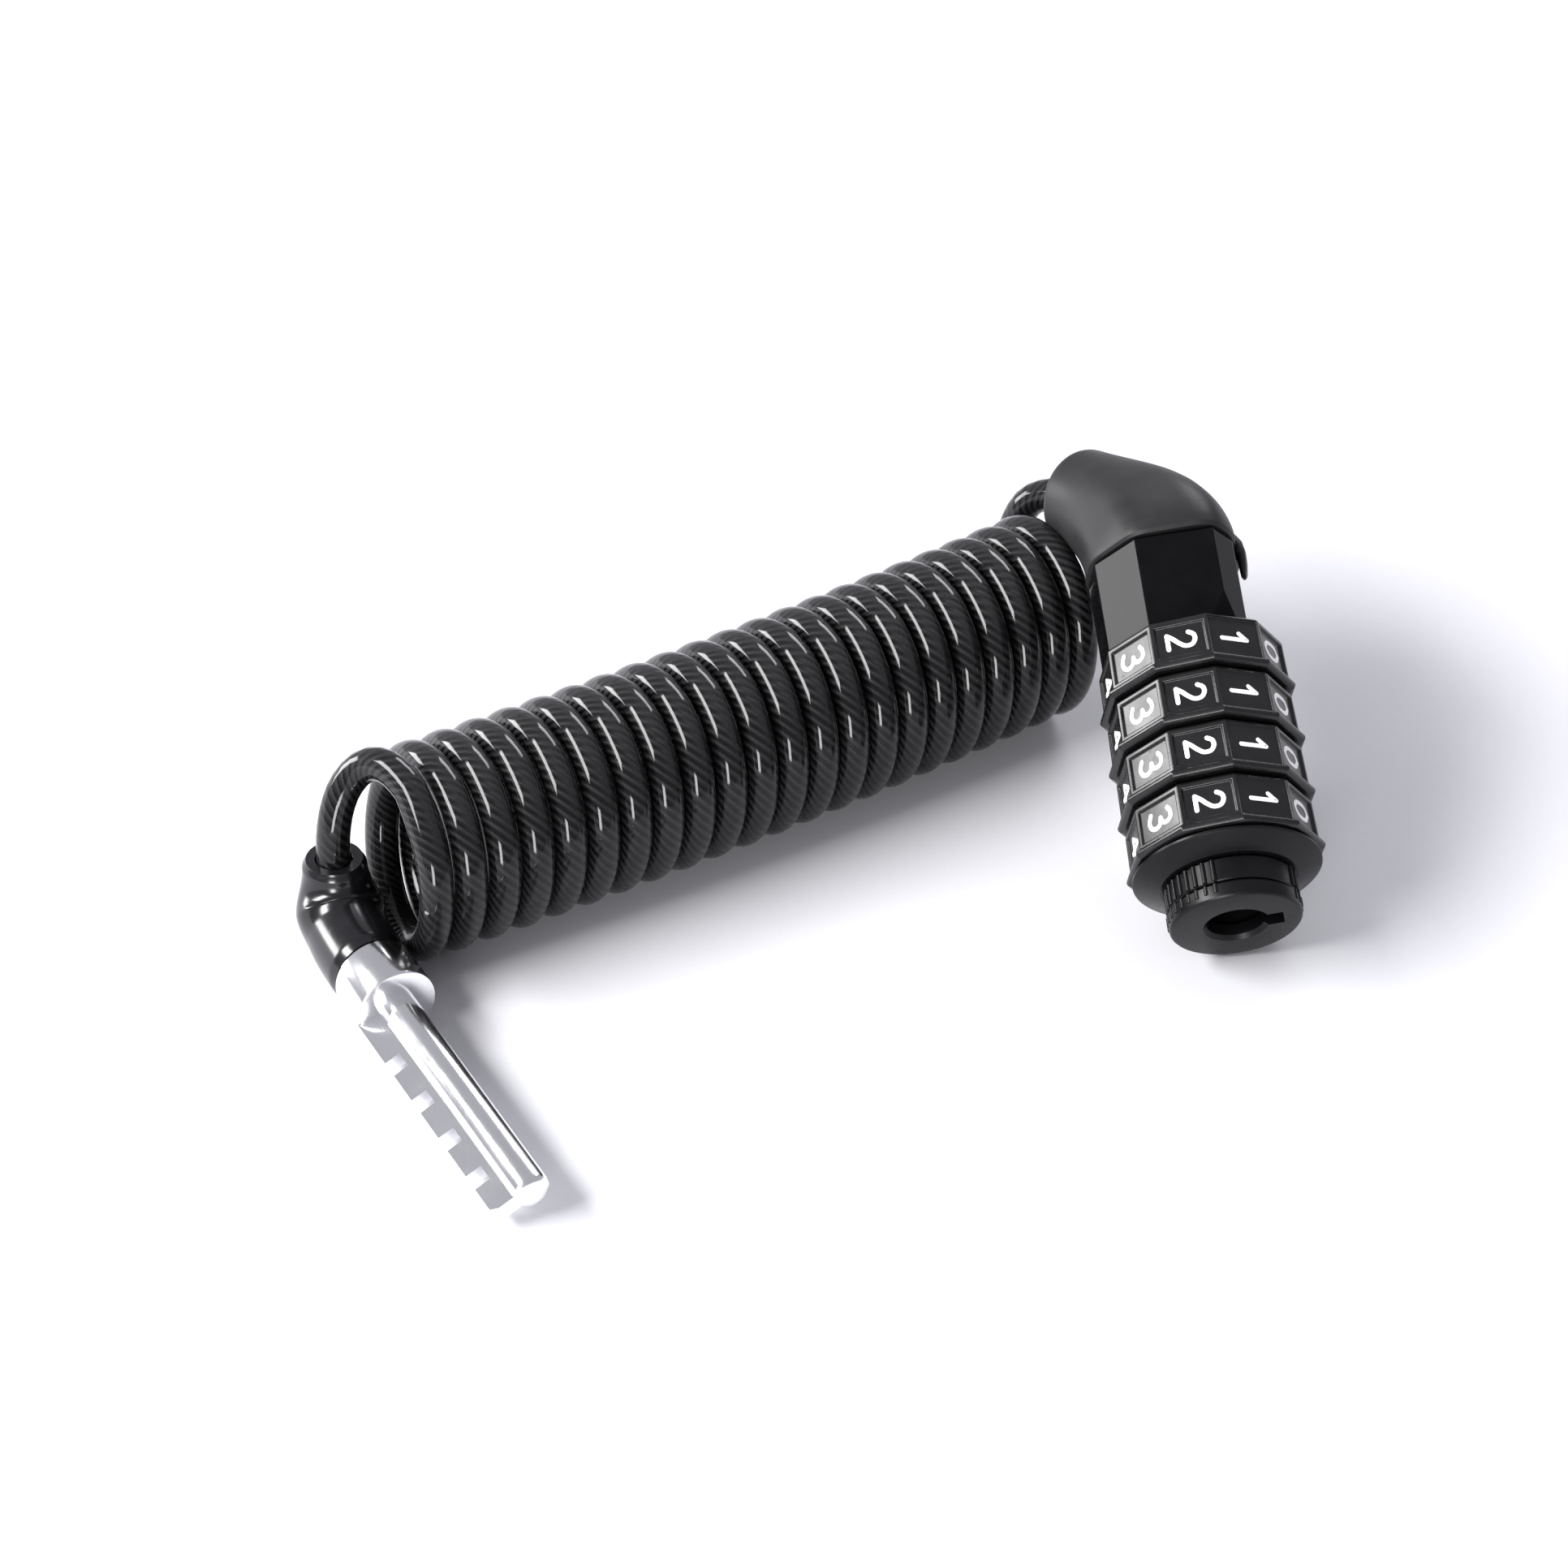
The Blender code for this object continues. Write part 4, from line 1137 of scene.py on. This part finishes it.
@dataclass
class ElbowBoot:
    """Soft rubber elbow that turns the cable away from the neck."""

    place: Place
    finishes: FinishSet
    neck: NeckHousing
    mouth: Triple = (-10.55, 8.0, 68.3)
    heading: Triple = (-0.647, 0.489, 0.585)
    mouth_radius: float = 6.7
    handles: Pair = (4.0, 7.0)
    skirt: float = 0.5
    narrowing: float = 1.08
    rounded_share: float = 0.07
    socket: Pair = (6.5, 56.3)
    bore: Triple = (3.15, -7.9, 2.0)
    lip_rows: tuple[tuple[float, float, float, float], ...] = (
        (-3.1, 0.25, 0.7, 0.9), (-2.6, 0.05, 0.95, 1.45), (-1.2, 0.0, 1.15, 1.7),
        (0.0, -0.1, 1.2, 1.8), (1.4, -0.6, 1.0, 1.7), (2.6, -1.2, 0.45, 1.2),
    )
    rings: int = 56
    segments: int = 96

    def section(self, share: float) -> Outline:
        """Blend from the neck's softened outline to the round mouth.

        Args:
            share: Share of the way along the elbow.

        Returns:
            The outline there.
        """
        blend = ease(share * self.narrowing)
        edge = max(0.0, share - (1.0 - self.rounded_share)) / self.rounded_share
        rounding = 1.0 - 0.2 * (1.0 - math.sqrt(max(0.0, 1.0 - edge * edge)))
        lip = 0.4 * max(0.0, 1.0 - share / 0.03) ** 2
        points = []
        for index in range(self.segments):
            angle = 2.0 * math.pi * index / self.segments
            skirt = sum(self.neck.reach(angle + nudge / 25.0) for nudge in range(-4, 5)) / 9.0
            radius = (skirt + self.skirt - lip) * (1.0 - blend) + self.mouth_radius * blend
            points.append((radius * rounding * math.cos(angle), radius * rounding * math.sin(angle)))
        return points

    def dress(self) -> None:
        """Build the elbow and its lip and let them ride."""
        low = self.neck.span[1] + GAP
        start = Vector((self.neck.centre_x, 0.0, low))
        mouth, heading = Vector(self.mouth), Vector(self.heading).normalized()
        leave, arrive = self.handles
        corners = [start, start + UP * leave, mouth - heading * arrive, mouth]
        solid = sweep(bezier(corners, self.rings), Vector((1.0, 0.0, 0.0)), self.section)
        write, rubber = self.place.write, self.finishes.rubber
        elbow = write("elbow_shell", solid, rubber, 50.0)
        socket_radius, socket_end = self.socket
        socket = rod(socket_radius, low - 1.0, socket_end, (self.neck.centre_x, 0.0))
        bore = rod(*self.bore)
        turn = heading.to_track_quat("Z", "Y").to_matrix().to_4x4()
        bmesh.ops.transform(bore, matrix=Matrix.Translation(mouth) @ turn, verts=bore.verts)
        carve(elbow, [write("socket_tool", socket, rubber), write("mouth_tool", bore, rubber)])
        soften(elbow, 0.35, 50.0)
        settle(elbow, Body.LOCK.value, Slot.RUBBER, ["elbow_boot"])
        self.dress_lip(low)

    def dress_lip(self, low: float) -> None:
        """Build the small lip that hangs over the neck's side.

        Args:
            low: Height of the elbow's rim.
        """
        edge = self.neck.outline[4][0] + GAP
        rings = []
        for height, inner, outer, half in self.lip_rows:
            middle, reach = edge + (inner + outer) / 2, (outer - inner) / 2
            rings.append([Vector((middle + reach * math.copysign(abs(math.cos(a)) ** 0.6, math.cos(a)),
                                  half * math.copysign(abs(math.sin(a)) ** 0.8, math.sin(a)), low + height))
                          for a in (2.0 * math.pi * index / 24 for index in range(24))])
        lip = self.place.write("elbow_lip", skin(rings), self.finishes.rubber, 60.0)
        settle(lip, Body.LOCK.value, Slot.RUBBER)


# ------------------------------------------------------------------ key


@dataclass
class LockingBolt:
    """Plated notched bolt with its collar."""

    finishes: FinishSet
    heading: float = math.radians(21.1)
    roll: float = math.radians(24.0)
    face_at: Triple = (-101.8, -0.25, 5.12)
    collar: Pair = (5.1, 7.0)
    shank: Pair = (3.0, 7.0)
    bar: float = 2.35
    root: float = 7.5
    notch: Pair = (2.5, 3.0)
    web: Pair = (2.0, 5.1)

    @property
    def length(self) -> float:
        """Length of the bar before the collar."""
        return self.root + DIAL_COUNT * DIAL_PITCH

    @property
    def forward(self) -> Vector:
        """Direction from the collar to the tip."""
        return Vector((math.sin(self.heading), -math.cos(self.heading), 0.0))

    def place(self) -> Place:
        """The bolt's frame: Z runs from the collar's face to the tip, X up the web."""
        left = Vector((self.forward.y, -self.forward.x, 0.0))
        web = left * math.cos(self.roll) - Vector((0.0, 0.0, math.sin(self.roll)))
        turn = Matrix((web, self.forward.cross(web), self.forward)).transposed().to_4x4()
        return Place(Matrix.Translation(CABLE_DATUM + Vector(self.face_at)) @ turn)

    def web_outline(self) -> Outline:
        """Outline of the notched web as (reach, height) points."""
        reach, tip = self.web[1], self.length
        width, floor = self.notch
        points = [(0.5, -0.5), (reach, -0.5)]
        for index in range(DIAL_COUNT):
            start = self.root + DIAL_PITCH * index
            points += [(reach, start), (floor, start), (floor, start + width), (reach, start + width)]
        return points + [(reach, tip - 1.1), (reach - 1.0, tip - 0.5), (0.5, tip - 0.5)]

    def dress(self) -> Piece:
        """Build the bolt.

        Returns:
            The finished bolt.
        """
        place = self.place()
        radius, length = self.collar
        shank, shank_length = self.shank
        tip = self.length
        back = -length - shank_length
        profile = [(shank - 0.4, back), (shank, 0.4 - length - shank_length), (shank, -length),
                   (radius - 0.3, -length), (radius, 0.3 - length), (radius, -0.45), (radius - 0.12, -0.15),
                   (radius - 0.4, 0.0), (self.bar, 0.0), (self.bar, tip - 0.9), (self.bar - 0.12, tip - 0.5),
                   (self.bar - 0.5, tip - 0.15), (self.bar - 1.1, tip), (0.3, tip + 0.05)]
        bolt = place.write("bolt_shell", lathe_solid(profile, 72), self.finishes.chrome)
        half = self.web[0] / 2
        outline = self.web_outline()
        web = skin([[Vector((x, y, z)) for x, z in outline] for y in (-half, half)])
        tool = place.write("web_tool", web, self.finishes.chrome)
        carve(bolt, [tool], "UNION")
        soften(bolt, 0.2, 35.0)
        return settle(bolt, Body.LOCK.value, Slot.CHROME, ["locking_bolt"])


@dataclass
class KeyBoot:
    """Glossy moulded boot behind the bolt's collar."""

    finishes: FinishSet
    bolt: LockingBolt
    cuff_at: Triple = (-108.0, 19.7, 12.8)
    handles: Pair = (9.0, 8.5)
    cuff_bore: Triple = (2.4, -3.0, 2.0)
    radii: tuple[Pair, ...] = (
        (0.0, 4.8), (0.05, 5.08), (0.35, 5.12), (0.6, 5.5), (0.96, 4.0), (1.0, 3.5),
    )
    rings: int = 64
    segments: int = 64

    def dress(self) -> Piece:
        """Build the boot.

        Returns:
            The finished boot.
        """
        back = -self.bolt.forward
        leave, arrive = self.handles
        cuff = CABLE_DATUM + Vector(self.cuff_at)
        start = CABLE_DATUM + Vector(self.bolt.face_at) + back * (self.bolt.collar[1] + GAP)
        path = bezier([start, start + back * leave, cuff - UP * arrive, cuff], self.rings)
        solid = sweep(path, UP, lambda share: circle(read_table(self.radii, share), self.segments))
        place = Place.of_table()
        boot = place.write("key_boot_shell", solid, self.finishes.boot, 50.0)
        mouth = rod(*self.cuff_bore)
        bmesh.ops.translate(mouth, vec=cuff, verts=mouth.verts)
        carve(boot, [place.write("cuff_tool", mouth, self.finishes.boot)])
        soften(boot, 0.2, 50.0)
        return settle(boot, Body.LOCK.value, Slot.GLOSS, ["key_boot"])


# ------------------------------------------------------------------ cable


@dataclass
class CoiledCable:
    """The cable from the bolt's boot, through the coil, into the elbow."""

    finishes: FinishSet
    radius: float = 2.1
    mean_radius: float = 11.15
    pitch: float = 4.5
    turns: int = 22
    lean: float = 2.12
    lean_phase: float = 143.0
    heading: float = math.radians(25.5)
    start_at: Pair = (-101.2, 18.15)
    axis_height: float = 13.25
    span: Pair = (-0.4, 97.0)
    bow: float = 1.7
    first_deg: float = 38.0
    last_deg: float = 245.0
    steps_per_turn: int = 48
    sides: int = 24
    key_route: tuple[Triple, ...] = (
        (-5.55, 4.3, 11.5), (-5.55, 4.3, 13.3), (-5.25, 4.6, 16.0), (-4.3, 5.2, 18.9), (-2.9, 5.5, 21.6),
        (-1.2, 5.0, 23.9), (0.1, 3.4, 25.5), (0.95, 1.0, 26.1), (1.4, -1.5, 25.8), (1.6, -4.0, 24.6),
    )
    lock_route: tuple[Triple, ...] = (
        (99.9, 11.8, 16.4), (100.7, 12.0, 19.4), (102.0, 11.1, 22.4), (103.3, 9.0, 24.2),
        (103.95, 6.6, 25.1), (104.4, 3.8, 26.0), (104.75, 1.5, 26.8),
    )

    def on_table(self, along: float, behind: float, height: float) -> Vector:
        """Place a point given along and behind the coil's axis."""
        x, y = math.cos(self.heading), math.sin(self.heading)
        return CABLE_DATUM + Vector((self.start_at[0] + along * x - behind * y,
                                     self.start_at[1] + along * y + behind * x, height))

    def helix(self) -> Iterable[Vector]:
        """Walk the coil's turns, which lean a little and bow towards the front.

        Yields:
            Points of the helix.
        """
        last = self.last_deg + 360.0 * (self.turns - 1)
        count = round((last - self.first_deg) / 360.0 * self.steps_per_turn)
        middle = sum(self.span) / 2
        for index in range(count + 1):
            degrees = self.first_deg + (last - self.first_deg) * index / count
            angle = math.radians(degrees)
            swing = 1.0 - math.cos(math.radians(degrees - self.lean_phase))
            along = self.pitch * (degrees - self.lean_phase) / 360.0 + self.lean * swing
            share = (along - middle) / (self.span[1] - middle)
            bow = self.bow * (1.0 - share * share)
            yield self.on_table(along, -self.mean_radius * math.sin(angle) - bow,
                                self.axis_height + self.mean_radius * math.cos(angle))

    def route(self) -> list[Vector]:
        """Join the two free leads to the coil in one smooth line.

        Returns:
            The centreline, evenly spaced.
        """
        coil = list(self.helix())[2:-2:3]
        key_lead, lock_lead = ([self.on_table(*point) for point in route]
                               for route in (self.key_route, self.lock_route))
        points = key_lead + coil + lock_lead
        return even(catmull(points, 8), 2.0 * math.pi * self.mean_radius / self.steps_per_turn)

    def tube(self, path: Sequence[Vector]) -> Piece:
        """Skin the route and lay a UV map on it.

        Args:
            path: The centreline.

        Returns:
            The sheath.
        """
        bm = bmesh.new()
        sheet = bm.loops.layers.uv.new("sheath")
        loops, lengths, travelled = [], [], 0.0
        frames = frames_along(path, Vector((0.0, 1.0, 0.2)))
        for index, (point, side, other) in enumerate(frames):
            travelled += (point - frames[index - 1][0]).length if index else 0.0
            lengths.append(travelled)
            loops.append([bm.verts.new(point + side * x + other * y)
                          for x, y in circle(self.radius, self.sides)])
        for ring in range(len(loops) - 1):
            for index in range(self.sides):
                after = (index + 1) % self.sides
                face = bm.faces.new((loops[ring][index], loops[ring][after],
                                     loops[ring + 1][after], loops[ring + 1][index]))
                corners = ((index, ring), (index + 1, ring), (index + 1, ring + 1), (index, ring + 1))
                for loop, (around, along) in zip(face.loops, corners):
                    loop[sheet].uv = (around / self.sides, lengths[along] / SHEATH_MAP_MM)
        bm.faces.new(loops[0])
        bm.faces.new(loops[-1])
        return Place.of_table().write("coiled_cable", bm, self.finishes.vinyl, 60.0)

    def dress(self, on_it: Sequence[Piece]) -> None:
        """Args:
            on_it: Not used.
        """
        path = self.route()
        length = sum((after - before).length for before, after in zip(path, path[1:]))
        cable = settle(self.tube(path), Body.LOCK.value, Slot.VINYL,
                       ["cable_coil", "cable_lead_key", "cable_lead_lock"])
        tuple(self.on_table(*self.lock_route[-2]) * MM)
        LOG.info("cable length %.1f mm", length)


# ------------------------------------------------------------------ inner parts


@dataclass
class WireSpring:
    """A compression spring of round wire."""

    place: Place
    finishes: FinishSet
    name: str
    radius: float
    wire: float
    span: Pair
    turns: int
    joint: str
    travel: float
    steps_per_turn: int = 24
    sides: int = 12

    def dress(self) -> None:
        """Build the spring."""
        low, high = self.span
        count = self.turns * self.steps_per_turn
        path = []
        for index in range(count + 1):
            height = low + self.wire / 2 + (high - low - self.wire) * (index / count)
            path.append(Vector((*polar(self.radius, 360.0 * index / self.steps_per_turn), height)))
        bm = sweep(path, UP, lambda share: circle(self.wire / 2, self.sides))
        spring = self.place.write(f"{self.name}_wire", bm, self.finishes.steel, 60.0)
        settle(spring, Body.LOCK.value, Slot.STEEL, [self.name])
        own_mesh(spring)


def dress_inner_parts(frame: dict, finishes: FinishSet) -> None:
    """Give the kept CAD nodes their finishes.

    Args:
        frame: The loaded frame.
        finishes: The scene's materials.
    """
    kept = {name: finishes.steel for name in ("core_sleeve", "retaining_ring", "ejector_plunger",
                                              "lock_ferrule_pin", "key_ferrule_pin")}
    kept.update({name: finishes.zinc for name in ("lock_ferrule", "key_ferrule")})
    rings = [f"code_ring_{number}" for number in range(1, DIAL_COUNT + 1)]
    kept.update({name: finishes.brass for name in ("thrust_ring", *rings)})
    for name, finish in kept.items():
        node = frame["nodes"][name]
        node.data.materials.clear()
        node.data.materials.append(finish)
        LOG.info("%s keeps its shape", name)


# ------------------------------------------------------------------ studio


@dataclass
class Softbox:
    """One rectangular studio light."""

    name: str
    spot: Triple
    aim: Triple
    size: Pair
    watts: float
    colour: Triple = (1.0, 1.0, 1.0)

    def hang(self) -> None:
        """Hang the light."""
        lamp = bpy.data.lights.new(self.name, "AREA")
        lamp.shape = "RECTANGLE"
        lamp.size, lamp.size_y = self.size
        lamp.energy = self.watts
        lamp.color = self.colour
        item = bpy.data.objects.new(self.name, lamp)
        item.location = self.spot
        item.rotation_euler = (Vector(self.aim) - Vector(self.spot)).to_track_quat("-Z", "Y").to_euler()
        item.visible_camera = False
        bpy.context.scene.collection.objects.link(item)


@dataclass
class Studio:
    """Camera, paper floor, sky and lights."""

    finishes: FinishSet
    eye: Triple = (-0.107435, -0.466786, 0.367298)
    look_at: Triple = (-0.048878, 0.011478, 0.0)
    lens_mm: float = 108.08
    sensor_mm: float = 36.0

    def set_camera(self) -> None:
        """Set the camera at its viewing angle."""
        camera = bpy.data.cameras.new("studio_camera")
        camera.lens = self.lens_mm
        camera.sensor_width = self.sensor_mm
        camera.clip_start = 0.01
        item = bpy.data.objects.new("studio_camera", camera)
        item.location = self.eye
        item.rotation_euler = (Vector(self.look_at) - Vector(self.eye)).to_track_quat("-Z", "Y").to_euler()
        bpy.context.scene.collection.objects.link(item)
        bpy.context.scene.camera = item

    def lay_floor(self) -> None:
        """Lay the paper."""
        bm = bmesh.new()
        bmesh.ops.create_grid(bm, x_segments=1, y_segments=1, size=3000.0)
        floor = Place.of_table().write("paper_floor", bm, self.finishes.paper)

    def light_sky(self) -> None:
        """Light the sky evenly."""
        world = bpy.data.worlds.new("studio_sky")
        bpy.context.scene.world = world
        world.use_nodes = True
        sky = world.node_tree.nodes["Background"]
        sky.inputs["Color"].default_value = (0.93, 0.93, 1.0, 1.0)
        sky.inputs["Strength"].default_value = 0.5

    def hang_lights(self) -> None:
        """Hang the lights."""
        middle = (-0.05, 0.0, 0.01)
        for box in (
            Softbox("left_bank", (-0.6, -0.12, 0.48), middle, (0.64, 0.22), 12.5),
            Softbox("low_panel", (-0.78, 0.42, 0.16), middle, (0.34, 0.2), 4.0),
            Softbox("front_strip", (-0.28, -0.78, 0.14), middle, (0.2, 0.3), 5.0),
            Softbox("back_fill", (0.35, 0.75, 0.6), middle, (0.5, 0.3), 5.0, (0.95, 0.95, 1.0)),
        ):
            box.hang()

    def build(self) -> None:
        """Set up the whole studio."""
        self.set_camera()
        self.lay_floor()
        self.light_sky()
        self.hang_lights()
        bpy.context.scene.view_settings.view_transform = "Standard"


def main() -> None:
    """Build the scene in order and report each piece."""
    logging.basicConfig(level=logging.INFO, format="%(name)s: %(message)s")
    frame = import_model()
    finishes = FinishSet.make()
    Studio(finishes).build()
    lock = Place.of_lock()
    bolt = LockingBolt(finishes)
    bolt_piece = bolt.dress()
    boot_piece = KeyBoot(finishes, bolt).dress()
    ends = [frame["nodes"][name] for name in ("key_ferrule", "key_ferrule_pin")]
    CoiledCable(finishes).dress([bolt_piece, boot_piece, *ends])
    NoseCap(lock, finishes).dress()
    SettingRing(lock, finishes).dress()
    EndFlange(lock, finishes).dress()
    for number in range(1, DIAL_COUNT + 1):
        Dial(lock, finishes, number).dress()
    neck = NeckHousing(lock, finishes)
    neck.dress()
    ElbowBoot(lock, finishes, neck).dress()
    WireSpring(lock, finishes, "clutch_spring", radius=6.0, wire=0.6, span=(38.2, 45.6), turns=3,
               joint="code_ring_1_slide", travel=2.0).dress()
    WireSpring(lock, finishes, "ejector_spring", radius=1.9, wire=0.55, span=(41.35, 46.9), turns=3,
               joint="plunger_slide", travel=3.6).dress()
    dress_inner_parts(frame, finishes)


if __name__ == "__main__":
    main()
